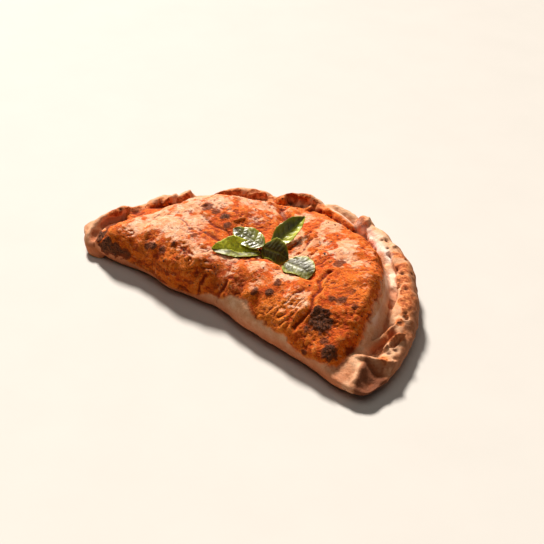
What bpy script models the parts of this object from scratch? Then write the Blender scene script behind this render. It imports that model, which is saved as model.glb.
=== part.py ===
"""A calzone: a round of pizza dough folded in half over its filling, crimped along the round edge
and baked, with a small basil sprig on top.

Metres, +Z up. The fold runs along X on the -Y side, the crimped rim curves round the +Y side,
and the flat underside lies on z = 0 with the origin at the middle of the calzone's footprint.
"""
import math

import bmesh
import bpy
import numpy as np
from mathutils import Vector, noise
from mathutils.bvhtree import BVHTree

MM = 0.001

# Size of the whole calzone
LENGTH = 284 * MM
DEPTH = 168 * MM

# Plan outline: a half superellipse behind the fold, fuller on the left than on the right
LEFT_REACH = 142 * MM
RIGHT_REACH = 143 * MM
RIM_DEPTH = 158 * MM
LEFT_FULLNESS = 2.0
RIGHT_FULLNESS = 1.80
LEFT_CORNER_BLEND = 0.14
RIGHT_CORNER_BLEND = 0.09

# Heights
STUFFED_HEIGHT = 30 * MM
LEFT_FRONT_ROUND = 26 * MM
RIGHT_FRONT_ROUND = 38 * MM
RIM_HEIGHT = 15 * MM
RIM_WIDTH = 17 * MM
LEFT_VALLEY_HEIGHT = 15.5 * MM
RIGHT_VALLEY_HEIGHT = 11 * MM
LEFT_SHOULDER_WIDTH = 38 * MM
RIGHT_SHOULDER_WIDTH = 18 * MM
WAIST_HEIGHT = 9 * MM
UNDERCUT = 5.5 * MM

# The folded corner at the right end: height of its ridge, how far right the ridge meets the fold,
# and how steeply the corner falls away beyond the ridge and rises before it
CORNER_HEIGHT = 16 * MM
CORNER_RIDGE_X = 130 * MM
CORNER_FALL = 0.5
CORNER_RISE = 0.1

# The rounded domes, hollows and creases of the stuffed top: centre x, y, half widths along and
# across, the angle of the long axis in degrees, how high each stands (minus for a hollow), and
# how flat it is on top with steep sides (2 is a plain bell)
SWELLS = (
    (48, 84, 64, 42, -35, 10.0, 2.4),
    (-60, 62, 46, 36, 18, 10.0, 2),
    (34, 20, 62, 15, 2, 5.0, 2.4),
    (-50, 16, 30, 14, 0, 3.0, 2),
    (-12, 78, 30, 10, -46, -3.5, 2),
    (34, 42, 26, 6, -4, -3.5, 2),
    (-86, 10, 7, 26, -12, -2.5, 2),
    (-108, 6, 20, 16, 0, 4.0, 2),
    (92, 60, 26, 34, 24, 5.0, 3),
    (112, 14, 20, 26, 40, -7.0, 2),
    (-92, 30, 14, 24, 10, -3.0, 2),
)

# The crimps of the rim. Each is a lump of folded dough: where its middle lies along the rim (0 at
# the left tip, 1 at the right corner), its length, width and height in mm, how far its far end
# turns outward in degrees, and how far its middle is pushed inward from the rim's line in mm
CRIMPS = (
    (0.072, 30, 12, 17, 12, 2.0),
    (0.122, 38, 15, 20, 14, 1.0),
    (0.174, 22, 15, 21, 28, 1.0),
    (0.275, 56, 16, 20.5, 6, -1.0),
    (0.388, 46, 18, 21.5, 8, 0.0),
    (0.470, 44, 16, 21, -4, 0.0),
    (0.538, 22, 17, 24, -22, 1.0),
    (0.592, 34, 15, 21, -4, 0.0),
    (0.640, 26, 15, 22, -12, 0.0),
    (0.685, 28, 11, 19, -8, 8.0),
    (0.732, 28, 10, 18, -8, 8.0),
    (0.775, 22, 10, 20, -10, 6.0),
    (0.822, 24, 15, 21, -14, 1.0),
)

# The share of the rim up to which the crimps slope gently on their inner side
GENTLE_CRIMPS = 0.5

# The lump of filling in the left tip: X and Y, its length, width and height in mm, and its heading
TIP_LUMP = (-100, 2, 36, 26, 26, 8)

# The thick roll of the right half: shares of the rim, and at each its radius and the height of its
# crest in mm. Its middle lies ROLL_INSET inside the rim's line
ROLL_SHARES = (0.548, 0.620, 0.700, 0.800, 0.850, 0.890, 0.930)
ROLL_RADII = (7.0, 9.0, 10.0, 10.5, 9.5, 8.0, 6.5)
ROLL_CRESTS = (21.5, 23.0, 23.0, 22.5, 19.0, 16.0, 12.5)
ROLL_INSET = 11 * MM

# Pinched folds on the crimps: where the middle lies along the rim, length, width and height in mm,
# turn outward in degrees, and inward push in mm
FOLDS = (
    (0.142, 26, 9, 21.5, 26, 3.0),
    (0.176, 14, 10, 22.5, 40, 1.0),
    (0.255, 40, 9, 21.5, 10, 1.0),
    (0.310, 24, 8, 20.5, 16, 2.0),
    (0.545, 15, 8, 25.0, -50, 0.0),
    (0.645, 14, 7, 24.0, -52, 1.0),
)

# Strands of dough, in mm: half width, half depth, and the points their crest passes through. They
# are the rolled left tip, the loop at the back and the roll beside it, and the folds of the corner
STRANDS = (
    (4.4, 6.0, ((-108, -9, 6), (-124, -9, 13), (-132, 5, 17), (-132, 24, 19), (-127, 41, 19))),
    (3.6, 4.0, ((-54, 118, 19), (-50, 134, 24), (-36, 142, 25), (-27, 143, 22))),
    (5.6, 6.0, ((-30, 142, 22), (-12, 140, 22), (6, 137, 21), (13, 136, 20))),
    (3.0, 5.0, ((117, 67, 21), (115, 52, 19), (116, 34, 17), (120, 22, 13))),
    (3.0, 5.0, ((113, 13, 15), (119, 13.5, 17.5), (124, 16, 18.5), (130, 21, 18.5), (138, 31, 15))),
    (4.0, 4.5, ((122, 18, 15.2), (125.5, 11, 15.8), (128, 5, 15.4), (129, -5, 10))),
)

# Mesh fineness
CRUST_VOXEL = 2.2 * MM
CRUST_TRIANGLES = 7300
TUBE_RINGS = 40
TUBE_COLUMNS = 20
SPRIG_VOXEL = 0.6 * MM
SPRIG_TRIANGLES = 2600

# Basil sprig: the point the leaves grow from, and the leaves. Each leaf has a heading in plan in
# degrees, its length and width in mm, how far it starts from that point, how high it starts over
# the dough, how far its tip lifts above that, and the depth of its cupping
SPRIG_CENTRE = (8 * MM, 45 * MM)
STALK_HEADING = 358
LEAVES = (
    (226, 34, 21, 3, 0.0, 1.5, 3.0),
    (182, 28, 17, 2, 2.5, 8.0, 1.2),
    (86, 34, 15, 3, 1.5, 7.0, 3.5),
    (6, 23, 18, -2, 2.5, 2.0, 0.8),
    (4, 26, 24, 19, 0.0, 1.0, 0.8),
)
LEAF_THICKNESS = 1.2 * MM
LEAF_CLEARANCE = 1.2 * MM
STALK_RADIUS = 1.0 * MM


def front_line(x):
    """Y of the fold's edge: nearly straight, with the slight waves of a stuffed fold."""
    left_swell = -6.5 * MM * np.exp(-((x + 108 * MM) / (24 * MM)) ** 2)
    middle_swell = -2.5 * MM * np.exp(-((x + 42 * MM) / (14 * MM)) ** 2)
    waist = 4.5 * MM * np.exp(-((x - 4 * MM) / (24 * MM)) ** 2)
    corner_swell = -3.5 * MM * np.exp(-((x - 124 * MM) / (20 * MM)) ** 2)
    return -6.0 * MM + left_swell + middle_swell + waist + corner_swell


def rim_level(x, y):
    """0 at the fold's middle, 1 on the round outline, more outside it."""
    side = np.clip(x / (40 * MM) * 0.5 + 0.5, 0.0, 1.0)
    reach = LEFT_REACH + (RIGHT_REACH - LEFT_REACH) * side
    full = LEFT_FULLNESS + (RIGHT_FULLNESS - LEFT_FULLNESS) * side
    across = np.abs(np.maximum(y, 0.0)) / RIM_DEPTH
    return ((np.abs(x) / reach) ** full + across ** full) ** (1.0 / full)


def outline_level(x, y):
    """Below 0 inside the plan outline, with the two corners rounded."""
    rim = rim_level(x, y) - 1.0
    fold = (front_line(x) - y) / (90 * MM)
    hardest = np.maximum(rim, fold)
    gap = np.abs(rim - fold)
    blend = LEFT_CORNER_BLEND + (RIGHT_CORNER_BLEND - LEFT_CORNER_BLEND) * smooth_step(x / (60 * MM))
    soft = np.maximum(blend - gap, 0.0) ** 2 / (4 * blend)
    return hardest + soft


def distance_to_rim(x, y):
    """How far inside the round outline a point lies, in metres."""
    step = 0.2 * MM
    level = rim_level(x, y)
    slope_x = (rim_level(x + step, y) - level) / step
    slope_y = (rim_level(x, y + step) - level) / step
    slope = np.sqrt(slope_x ** 2 + slope_y ** 2) + 1e-6
    return np.clip((1.0 - level) / slope, 0.0, 0.2)


def smooth_step(value):
    value = np.clip(value, 0.0, 1.0)
    return value * value * (3.0 - 2.0 * value)


def swell(x, y, centre_x, centre_y, along, across, angle, height, flatness):
    """One rounded dome or hollow of the top."""
    turn = math.radians(angle)
    dx = x - centre_x * MM
    dy = y - centre_y * MM
    run = (dx * math.cos(turn) + dy * math.sin(turn)) / (along * MM)
    rise = (-dx * math.sin(turn) + dy * math.cos(turn)) / (across * MM)
    return height * MM * np.exp(-(np.abs(run) ** flatness + np.abs(rise) ** flatness))


def corner_height(x, y):
    """Height of the folded corner: a ridge that runs to the fold, falling away beyond it."""
    beyond = x - (CORNER_RIDGE_X - 0.45 * y)
    height = CORNER_HEIGHT - 0.3 * np.maximum(8 * MM - y, 0.0)
    return height - CORNER_FALL * np.maximum(beyond, 0.0) - CORNER_RISE * np.minimum(beyond, 0.0)


def top_height(x, y):
    """Height of the top surface over the plan: ridge at the fold, stuffed middle, valley, rim."""
    from_fold = np.maximum(y - front_line(x), 0.0)
    from_rim = distance_to_rim(x, y)
    right = smooth_step((x - 5 * MM) / (50 * MM))
    left_share = smooth_step((30 * MM - x) / (40 * MM))
    front_round = LEFT_FRONT_ROUND + (RIGHT_FRONT_ROUND - LEFT_FRONT_ROUND) * right
    roundness = np.clip(1.0 - from_fold / front_round, 0.0, 1.0)
    ridge = (1.0 - roundness ** (2.6 - 0.9 * right)) ** (1.0 / (2.2 + 0.7 * right))
    shoulder = LEFT_SHOULDER_WIDTH + (RIGHT_SHOULDER_WIDTH - LEFT_SHOULDER_WIDTH) * right
    climb = smooth_step((from_rim - RIM_WIDTH) / shoulder) ** 0.8
    taper = smooth_step((RIGHT_REACH - 6 * MM - x) / (34 * MM))
    taper = taper * smooth_step((x + LEFT_REACH - 5 * MM) / (34 * MM))
    valley = RIGHT_VALLEY_HEIGHT + (LEFT_VALLEY_HEIGHT - RIGHT_VALLEY_HEIGHT) * left_share
    body = valley + (STUFFED_HEIGHT - valley) * climb * (0.35 + 0.65 * taper)
    for item in SWELLS:
        body = body + swell(x, y, *item) * climb
    along_rim = np.clip(from_rim / RIM_WIDTH, 0.0, 1.0)
    roll = np.sqrt(np.clip(1.0 - (2.0 * along_rim - 1.0) ** 2, 0.0, 1.0))
    rim = WAIST_HEIGHT + (RIM_HEIGHT - WAIST_HEIGHT) * roll
    inside = smooth_step((from_rim - 0.55 * RIM_WIDTH) / (0.45 * RIM_WIDTH))
    height = rim * (1.0 - inside) + body * inside
    at_corner = smooth_step((x - 103 * MM) / (12 * MM)) * smooth_step((27 * MM - y) / (9 * MM))
    height = height + (corner_height(x, y) - height) * at_corner
    return WAIST_HEIGHT + (np.maximum(height, WAIST_HEIGHT) - WAIST_HEIGHT) * ridge


def outline_radius(angle, centre):
    """Distance from the centre to the plan outline at each angle, by halving."""
    near = np.zeros_like(angle)
    far = np.full_like(angle, 0.25)
    for _ in range(40):
        middle = (near + far) / 2
        inside = outline_level(centre[0] + middle * np.cos(angle), centre[1] + middle * np.sin(angle)) < 0
        near = np.where(inside, middle, near)
        far = np.where(inside, far, middle)
    return near


def new_object(name, mesh, collection):
    item = bpy.data.objects.new(name, mesh)
    collection.objects.link(item)
    return item


def mesh_from_bmesh(name, bm):
    bmesh.ops.recalc_face_normals(bm, faces=bm.faces)
    mesh = bpy.data.meshes.new(name)
    bm.to_mesh(mesh)
    bm.free()
    return mesh


def body_mesh():
    """The stuffed half moon: a sphere whose points are moved out to the plan outline and up to
    the top surface, with a rounded lower edge that turns in under the dough."""
    bm = bmesh.new()
    bmesh.ops.create_uvsphere(bm, u_segments=220, v_segments=120, radius=1.0)
    points = np.array([vertex.co[:] for vertex in bm.verts])
    centre = (0.0, 55 * MM)
    angle = np.arctan2(points[:, 1], points[:, 0])
    reach = outline_radius(angle, centre)
    spread = np.sqrt(points[:, 0] ** 2 + points[:, 1] ** 2)
    upper = points[:, 2] >= 0
    inset = UNDERCUT * np.clip(-points[:, 2] * 3.0, 0.0, 1.0) ** 1.5
    radius = spread * reach - np.where(upper, 0.0, inset * spread)
    x = centre[0] + radius * np.cos(angle)
    y = centre[1] + radius * np.sin(angle)
    top = top_height(x, y)
    bottom = WAIST_HEIGHT * (1.0 - np.clip(-points[:, 2] * 2.6, 0.0, 1.0)) - 1 * MM
    z = np.where(upper, np.maximum(top, WAIST_HEIGHT), bottom)
    for vertex, place in zip(bm.verts, np.stack([x, y, z], axis=1)):
        vertex.co = place
    return mesh_from_bmesh("body", bm)


def rim_point(share):
    """A point on the middle line of the rim, and its direction, for a share of the rim's length."""
    turn = np.linspace(math.radians(176), math.radians(3), 400)
    radius = np.zeros_like(turn)
    far = np.full_like(turn, 0.25)
    for _ in range(40):
        middle = (radius + far) / 2
        inside = rim_level(middle * np.cos(turn), middle * np.sin(turn)) < 1.0
        radius = np.where(inside, middle, radius)
        far = np.where(inside, far, middle)
    x = radius * np.cos(turn)
    y = radius * np.sin(turn)
    run = np.concatenate([[0.0], np.cumsum(np.hypot(np.diff(x), np.diff(y)))])
    run = run / run[-1]
    px = float(np.interp(share, run, x))
    py = float(np.interp(share, run, y))
    qx = float(np.interp(share + 0.004, run, x))
    qy = float(np.interp(share + 0.004, run, y))
    ahead = Vector((qx - px, qy - py, 0.0))
    if ahead.length < 1e-9:
        ahead = Vector((0.0, -1.0, 0.0))
    return Vector((px, py, 0.0)), ahead.normalized()


def outward_at(share):
    """A point on the rim, the direction ahead along it and the direction out of it."""
    place, ahead = rim_point(share)
    return place, ahead, Vector((-ahead.y, ahead.x, 0.0))


def lump_mesh(middle, along, length, width, height, gentle):
    """An egg-shaped lump, thin where it starts and full where it ends. Where it is gentle, its
    inner side slopes down slowly."""
    bm = bmesh.new()
    bmesh.ops.create_uvsphere(bm, u_segments=28, v_segments=18, radius=1.0)
    across = Vector((-along.y, along.x, 0.0))
    for vertex in bm.verts:
        run, side, up = vertex.co
        if side < 0.0 and gentle > 0.0:
            girth = math.hypot(side, up)
            slope = -1.5 * girth * (1.0 - max(up / girth, 0.0)) ** 0.8
            side = gentle * slope + (1.0 - gentle) * side
        fullness = 0.94 + 0.16 * run
        middle_height = 9.0 + 2.0 * run
        sideways = side * width * 0.5 * fullness * (1.0 + 0.25 * up)
        raised = middle_height + up * (height - middle_height)
        spot = middle + along * (run * length * 0.5 * MM) + across * (sideways * MM)
        vertex.co = (spot.x, spot.y, max(raised * MM, 2 * MM))
    return mesh_from_bmesh("lump", bm)


def crimp_mesh(share, length, width, height, turn, inward):
    """One crimp of the rim, which leans over the next one."""
    place, ahead, outward = outward_at(share)
    angle = math.radians(turn)
    along = ahead * math.cos(angle) + outward * math.sin(angle)
    middle = place - outward * (RIM_WIDTH * 0.5 + inward * MM)
    gentle = float(smooth_step((GENTLE_CRIMPS + 0.02 - share) / 0.06))
    return lump_mesh(middle, along, length, width, height, gentle)


def tip_lump_mesh():
    x, y, length, width, height, heading = TIP_LUMP
    angle = math.radians(heading)
    along = Vector((math.cos(angle), math.sin(angle), 0.0))
    return lump_mesh(Vector((x * MM, y * MM, 0.0)), along, length, width, height, 0.0)


def tube_mesh(crest, half_widths, half_depths):
    """A closed skin whose crest follows the points given, in metres."""
    bm = bmesh.new()
    rings = []
    for index, top in enumerate(crest):
        before = crest[max(index - 1, 0)]
        after = crest[min(index + 1, len(crest) - 1)]
        ahead = Vector(after - before).normalized()
        side = ahead.cross(Vector((0.0, 0.0, 1.0))).normalized() * half_widths[index]
        up = side.normalized().cross(ahead) * half_depths[index]
        middle = Vector(top) - up
        turns = [2 * math.pi * column / TUBE_COLUMNS for column in range(TUBE_COLUMNS)]
        ring = [middle + side * math.cos(turn) + up * math.sin(turn) for turn in turns]
        rings.append([bm.verts.new(place) for place in ring])
    for here, above in zip(rings, rings[1:]):
        for column in range(TUBE_COLUMNS):
            after = (column + 1) % TUBE_COLUMNS
            bm.faces.new((here[column], here[after], above[after], above[column]))
    bm.faces.new(rings[0])
    bm.faces.new(rings[-1])
    return mesh_from_bmesh("tube", bm)


def run_of_tube():
    """Evenly spaced places along a tube, from -1 to 1, just short of its ends."""
    return np.linspace(-0.995, 0.995, TUBE_RINGS)


def roll_mesh():
    """The thick roll of dough along the right half of the rim."""
    run = run_of_tube()
    shares = ROLL_SHARES[0] + (ROLL_SHARES[-1] - ROLL_SHARES[0]) * (run + 1.0) / 2
    radius = np.interp(shares, ROLL_SHARES, ROLL_RADII) * np.sqrt(1.0 - run ** 8)
    height = np.interp(shares, ROLL_SHARES, ROLL_CRESTS)
    crest = []
    for share, top in zip(shares, height):
        place, _, outward = outward_at(share)
        spot = place - outward * ROLL_INSET
        crest.append((spot.x, spot.y, top * MM))
    depth = np.minimum(radius, height / 2 - 0.5)
    return tube_mesh(np.array(crest), radius * MM, depth * MM)


def fold_mesh(share, length, width, height, turn, inward):
    """One pinched fold: a tongue of dough with its crest, fuller towards its end."""
    place, ahead, outward = outward_at(share)
    angle = math.radians(turn)
    along = ahead * math.cos(angle) + outward * math.sin(angle)
    middle = place - outward * (RIM_WIDTH * 0.5 + inward * MM)
    run = run_of_tube()
    full = np.sqrt(1.0 - np.abs(run) ** 2.6) * (0.9 + 0.12 * run)
    tops = height * (0.70 + 0.30 * (1.0 - ((run - 0.15) / 1.1) ** 2))
    crest = []
    for step, top in zip(run, tops):
        spot = middle + along * (step * length * 0.5 * MM)
        crest.append((spot.x, spot.y, top * MM))
    return tube_mesh(np.array(crest), width / 2 * full * MM, 0.46 * height * full * MM)


def strand_mesh(half_width, half_depth, points):
    """A strand of dough through its points, fading out at both ends."""
    corners = np.array(points) * MM
    steps = np.linalg.norm(np.diff(corners, axis=0), axis=1)
    places = np.concatenate([[0.0], np.cumsum(steps)])
    run = run_of_tube()
    wanted = places[-1] * (run + 1.0) / 2
    crest = np.stack([np.interp(wanted, places, corners[:, axis]) for axis in range(3)], axis=1)
    full = np.sqrt(1.0 - np.abs(run) ** 5)
    return tube_mesh(crest, half_width * full * MM, half_depth * full * MM)


def joined(name, meshes, collection):
    """Several closed meshes in one object, still as separate bodies."""
    bm = bmesh.new()
    for mesh in meshes:
        bm.from_mesh(mesh)
        bpy.data.meshes.remove(mesh)
    mesh = bpy.data.meshes.new(name)
    bm.to_mesh(mesh)
    bm.free()
    return new_object(name, mesh, collection)


def apply_modifiers(item):
    """Replaces an object's mesh by the result of its modifiers."""
    graph = bpy.context.evaluated_depsgraph_get()
    mesh = bpy.data.meshes.new_from_object(item.evaluated_get(graph))
    old = item.data
    item.modifiers.clear()
    item.data = mesh
    mesh.name = item.name
    bpy.data.meshes.remove(old)


def remesh(item, voxel):
    modifier = item.modifiers.new("Union", "REMESH")
    modifier.mode = "VOXEL"
    modifier.voxel_size = voxel
    modifier.use_smooth_shade = True
    apply_modifiers(item)


def soften(item, factor, rounds):
    modifier = item.modifiers.new("Soften", "SMOOTH")
    modifier.factor = factor
    modifier.iterations = rounds
    apply_modifiers(item)


def thin_out(item, triangles):
    count = sum(len(face.vertices) - 2 for face in item.data.polygons)
    modifier = item.modifiers.new("Decimate", "DECIMATE")
    modifier.ratio = min(1.0, triangles / count)
    modifier.use_collapse_triangulate = True
    apply_modifiers(item)


def mesh_values(mesh, kind):
    """The mesh's points ("co") or its point normals ("normal"), one row for each point."""
    values = np.empty(len(mesh.vertices) * 3)
    mesh.vertices.foreach_get(kind, values)
    return values.reshape(-1, 3)


def uneven(item):
    """Slight lumps all over, as hand-shaped dough has, more on the rim than on the body."""
    mesh = item.data
    points = mesh_values(mesh, "co")
    normals = mesh_values(mesh, "normal")
    inside = distance_to_rim(points[:, 0], points[:, 1])
    amount = np.where(inside > 1.2 * RIM_WIDTH, 0.9 * MM, 1.5 * MM)
    amount = amount * np.clip(points[:, 2] / (6 * MM), 0.0, 1.0)
    lumps = [noise.fractal(Vector(point) * 55.0, 1.0, 2.0, 3) for point in points]
    points = points + normals * (amount * np.array(lumps))[:, None]
    mesh.vertices.foreach_set("co", points.ravel())
    mesh.update()


def fit_to_size(item):
    """Stretches the crust to its named length and depth and centres it on the origin."""
    points = mesh_values(item.data, "co")
    low = points.min(axis=0)
    high = points.max(axis=0)
    scale = np.array([LENGTH / (high[0] - low[0]), DEPTH / (high[1] - low[1]), 1.0])
    middle = np.array([(low[0] + high[0]) / 2, (low[1] + high[1]) / 2, 0.0])
    points = (points - middle) * scale
    item.data.vertices.foreach_set("co", points.ravel())
    item.data.update()
    return middle, scale


def floor_cutter(collection):
    bpy.ops.mesh.primitive_cube_add(size=1.0, location=(0.0, 0.0, -25 * MM))
    cutter = bpy.context.object
    cutter.name = "floor_cutter"
    cutter.scale = (2 * LENGTH, 2 * DEPTH, 50 * MM)
    bpy.ops.object.transform_apply(location=False, rotation=False, scale=True)
    for owner in list(cutter.users_collection):
        owner.objects.unlink(cutter)
    collection.objects.link(cutter)
    cutter.hide_render = True
    cutter.display_type = "WIRE"
    return cutter


def build_crust(parts, cutters):
    meshes = [body_mesh(), tip_lump_mesh(), roll_mesh()]
    meshes += [crimp_mesh(*crimp) for crimp in CRIMPS]
    meshes += [fold_mesh(*fold) for fold in FOLDS]
    meshes += [strand_mesh(*strand) for strand in STRANDS]
    crust = joined("crust", meshes, parts)
    remesh(crust, CRUST_VOXEL)
    soften(crust, 0.5, 3)
    uneven(crust)
    thin_out(crust, CRUST_TRIANGLES)
    middle, scale = fit_to_size(crust)
    cut = crust.modifiers.new("Flat underside", "BOOLEAN")
    cut.operation = "DIFFERENCE"
    cut.object = floor_cutter(cutters)
    return crust, middle, scale


def surface_tree(item):
    graph = bpy.context.evaluated_depsgraph_get()
    return BVHTree.FromObject(item, graph)


def surface_height(tree, x, y):
    hit = tree.ray_cast(Vector((x, y, 0.2)), Vector((0.0, 0.0, -1.0)))
    if hit[0] is None:
        return 0.0
    return hit[0].z


def leaf_outline(share):
    """Half width of a basil leaf for a share of its length: broad near the stalk, pointed tip."""
    return math.sin(math.pi * share ** 0.82) ** 0.8


def leaf_mesh(tree, centre, heading, length, width, start, base, lift, cup):
    """One leaf: a sheet that lies just over the dough and lifts towards its tip, given its
    thickness by Solidify later."""
    bm = bmesh.new()
    steps, lanes = 16, 8
    turn = math.radians(heading)
    ahead = Vector((math.cos(turn), math.sin(turn), 0.0))
    side = Vector((-ahead.y, ahead.x, 0.0))
    bmesh.ops.create_grid(bm, x_segments=steps, y_segments=lanes, size=1.0)
    for vertex in bm.verts:
        share = (vertex.co.x + 1.0) / 2.0
        lane = vertex.co.y
        half = leaf_outline(0.02 + 0.96 * share) * width * 0.5
        spot = Vector((centre[0], centre[1], 0.0))
        spot += ahead * ((start + share * length) * MM) + side * (lane * half * MM)
        ground = surface_height(tree, spot.x, spot.y)
        raised = base + lift * share ** 1.6 + cup * lane * lane * math.sin(math.pi * min(share + 0.1, 1.0))
        vertex.co = (spot.x, spot.y, ground + LEAF_CLEARANCE + LEAF_THICKNESS + raised * MM)
    mesh = bpy.data.meshes.new("leaf")
    bm.to_mesh(mesh)
    bm.free()
    return mesh


def stalk_mesh(tree, centre):
    """The short stalk under the leaves, which also joins them: a rounded bead and a thin stem."""
    bm = bmesh.new()
    bmesh.ops.create_uvsphere(bm, u_segments=24, v_segments=14, radius=1.0)
    turn = math.radians(STALK_HEADING)
    for vertex in bm.verts:
        run, side, up = vertex.co
        x = centre[0] + (run * 13 + 9) * MM * math.cos(turn) - side * 1.8 * MM * math.sin(turn)
        y = centre[1] + (run * 13 + 9) * MM * math.sin(turn) + side * 1.8 * MM * math.cos(turn)
        ground = surface_height(tree, x, y)
        vertex.co = (x, y, ground + LEAF_CLEARANCE + 2.0 * STALK_RADIUS + up * 1.2 * STALK_RADIUS)
    bead = bmesh.new()
    bmesh.ops.create_uvsphere(bead, u_segments=16, v_segments=10, radius=4.2 * MM)
    ground = surface_height(tree, centre[0], centre[1])
    for vertex in bead.verts:
        vertex.co = Vector((centre[0], centre[1], ground + LEAF_CLEARANCE + 3.4 * MM)) + Vector(
            (vertex.co.x, vertex.co.y, vertex.co.z * 0.6))
    mesh = bpy.data.meshes.new("bead")
    bead.to_mesh(mesh)
    bead.free()
    bm.from_mesh(mesh)
    bpy.data.meshes.remove(mesh)
    return mesh_from_bmesh("stalk", bm)


def build_sprig(parts, crust, middle, scale):
    tree = surface_tree(crust)
    centre = ((SPRIG_CENTRE[0] - middle[0]) * scale[0], (SPRIG_CENTRE[1] - middle[1]) * scale[1])
    sheets = joined("leaves", [leaf_mesh(tree, centre, *leaf) for leaf in LEAVES], parts)
    solid = sheets.modifiers.new("Thickness", "SOLIDIFY")
    solid.thickness = LEAF_THICKNESS
    solid.offset = 0.0
    apply_modifiers(sheets)
    sprig = joined("basil_sprig", [sheets.data.copy(), stalk_mesh(tree, centre)], parts)
    bpy.data.objects.remove(sheets)
    remesh(sprig, SPRIG_VOXEL)
    thin_out(sprig, SPRIG_TRIANGLES)
    return sprig


def give_material(item, name, colour, roughness):
    material = bpy.data.materials.new(name)
    material.use_nodes = True
    shader = material.node_tree.nodes["Principled BSDF"]
    shader.inputs["Base Color"].default_value = (*colour, 1.0)
    shader.inputs["Roughness"].default_value = roughness
    shader.inputs["Metallic"].default_value = 0.0
    item.data.materials.clear()
    item.data.materials.append(material)
    item.data.shade_smooth()


def new_collection(name):
    collection = bpy.data.collections.new(name)
    bpy.context.scene.collection.children.link(collection)
    return collection


def main():
    for item in list(bpy.data.objects):
        bpy.data.objects.remove(item)
    parts = new_collection("calzone")
    cutters = new_collection("cutters")
    crust, middle, scale = build_crust(parts, cutters)
    sprig = build_sprig(parts, crust, middle, scale)
    give_material(crust, "baked dough", (0.62, 0.27, 0.12), 0.6)
    give_material(sprig, "basil leaf", (0.09, 0.17, 0.015), 0.4)


main()
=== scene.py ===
import math

import bpy
import numpy as np
from mathutils import Matrix, Vector, noise
from mathutils.bvhtree import BVHTree


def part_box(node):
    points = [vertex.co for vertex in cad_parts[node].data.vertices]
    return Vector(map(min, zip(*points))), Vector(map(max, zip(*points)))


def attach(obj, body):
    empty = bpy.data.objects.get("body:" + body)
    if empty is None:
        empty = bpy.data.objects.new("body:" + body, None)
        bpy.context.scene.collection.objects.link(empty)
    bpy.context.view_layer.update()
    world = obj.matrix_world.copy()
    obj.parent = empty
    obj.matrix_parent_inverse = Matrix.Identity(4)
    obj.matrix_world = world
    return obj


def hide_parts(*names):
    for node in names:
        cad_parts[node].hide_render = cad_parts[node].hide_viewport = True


# A calzone: pizza dough folded in half over its filling, crimped along the round edge, washed with
# tomato and baked, with a small basil sprig on top. Shapes are worked out in millimetres with the
# fold along X, and placed in the CAD solid's box at the end.

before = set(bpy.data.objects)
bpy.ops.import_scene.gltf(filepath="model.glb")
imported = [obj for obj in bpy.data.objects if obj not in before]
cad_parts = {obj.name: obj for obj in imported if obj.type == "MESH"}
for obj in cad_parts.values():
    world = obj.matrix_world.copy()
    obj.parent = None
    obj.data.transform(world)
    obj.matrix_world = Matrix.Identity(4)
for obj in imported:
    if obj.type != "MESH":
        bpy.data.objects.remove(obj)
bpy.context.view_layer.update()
crust_low, crust_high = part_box("crust")

MM = 0.001
PI = math.pi

# ---------------- the crust's sizes, in mm

LEFT_REACH = 142.0
RIGHT_REACH = 143.0
RIM_DEPTH = 158.0
LEFT_FULLNESS = 2.0
RIGHT_FULLNESS = 1.8
CORNER_BLEND = 0.14
STUFFED_HEIGHT = 30.0
FRONT_ROUND = 26.0
RIM_HEIGHT = 15.0
RIM_WIDTH = 17.0
VALLEY_HEIGHT = 11.0
VALLEY_RISE = 4.5
SHOULDER_WIDTH = 38.0
WAIST_HEIGHT = 9.0
UNDERCUT = 5.5
BODY_MIDDLE_Y = 55.0

# The right half is rounder at the front, and its shoulder narrower, by these
RIGHT_ROUNDER = 12.0
RIGHT_NARROWER = 20.0

# Y of the fold's edge, and its swells (minus) and waists (plus): how far, X of the middle, half width
FRONT_Y = -6.0
FRONT_SWELLS = ((-6.5, -108, 24), (-2.5, -42, 14), (4.5, 4, 24), (-3.5, 124, 20))

# The pinched right corner: X of its ridge at Y 0, how far the ridge slants left with each mm of Y, the
# Y at which it turns outward, its height, where the corner starts along X, and the Y it reaches to
CORNER_RIDGE = 130.0
CORNER_SLANT = 0.45
CORNER_TURN = 16.0
CORNER_HEIGHT = 16.0
CORNER_START = 103.0
CORNER_DEPTH = 25.0

# Domes and hollows of the top: centre, half widths along and across, angle, height, flatness
SWELLS = (
    (48, 84, 64, 42, -35, 10, 2.4),
    (-60, 62, 46, 36, 18, 10, 2),
    (34, 20, 62, 15, 2, 5, 2.4),
    (-50, 16, 30, 14, 0, 3, 2),
    (-12, 78, 30, 10, -46, -3, 2),
    (34, 42, 26, 6, -4, -3, 2),
    (-86, 10, 7, 26, -12, -2.5, 2),
    (-108, 6, 20, 16, 0, 4, 2),
    (92, 60, 26, 34, 24, 5, 3),
    (112, 14, 20, 26, 40, -7, 2),
    (-92, 30, 14, 24, 10, -3, 2),
)

# Lumps of the rim, each the thick part of a crimp: place along the rim, length, width, height, turn
# outward in degrees and inward shift
CRIMPS = (
    (0.072, 30, 12, 17, 12, 2),
    (0.122, 38, 15, 20, 14, 1),
    (0.174, 22, 15, 21, 28, 1),
    (0.275, 56, 16, 20.5, 6, -1),
    (0.388, 46, 18, 21.5, 8, 0),
    (0.47, 44, 16, 21, -4, 0),
    (0.538, 22, 17, 24, -22, 1),
    (0.592, 34, 15, 21, -4, 0),
    (0.64, 26, 15, 22, -12, 0),
    (0.685, 28, 11, 19, -8, 8),
    (0.732, 28, 10, 18, -8, 8),
    (0.775, 22, 10, 20, -10, 6),
    (0.822, 24, 15, 21, -14, 1),
)

# Lumps that aren't part of the rim: X, Y, heading, length, width, height
LUMPS = (
    (-100, 2, 8, 36, 26, 26),
)

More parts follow.
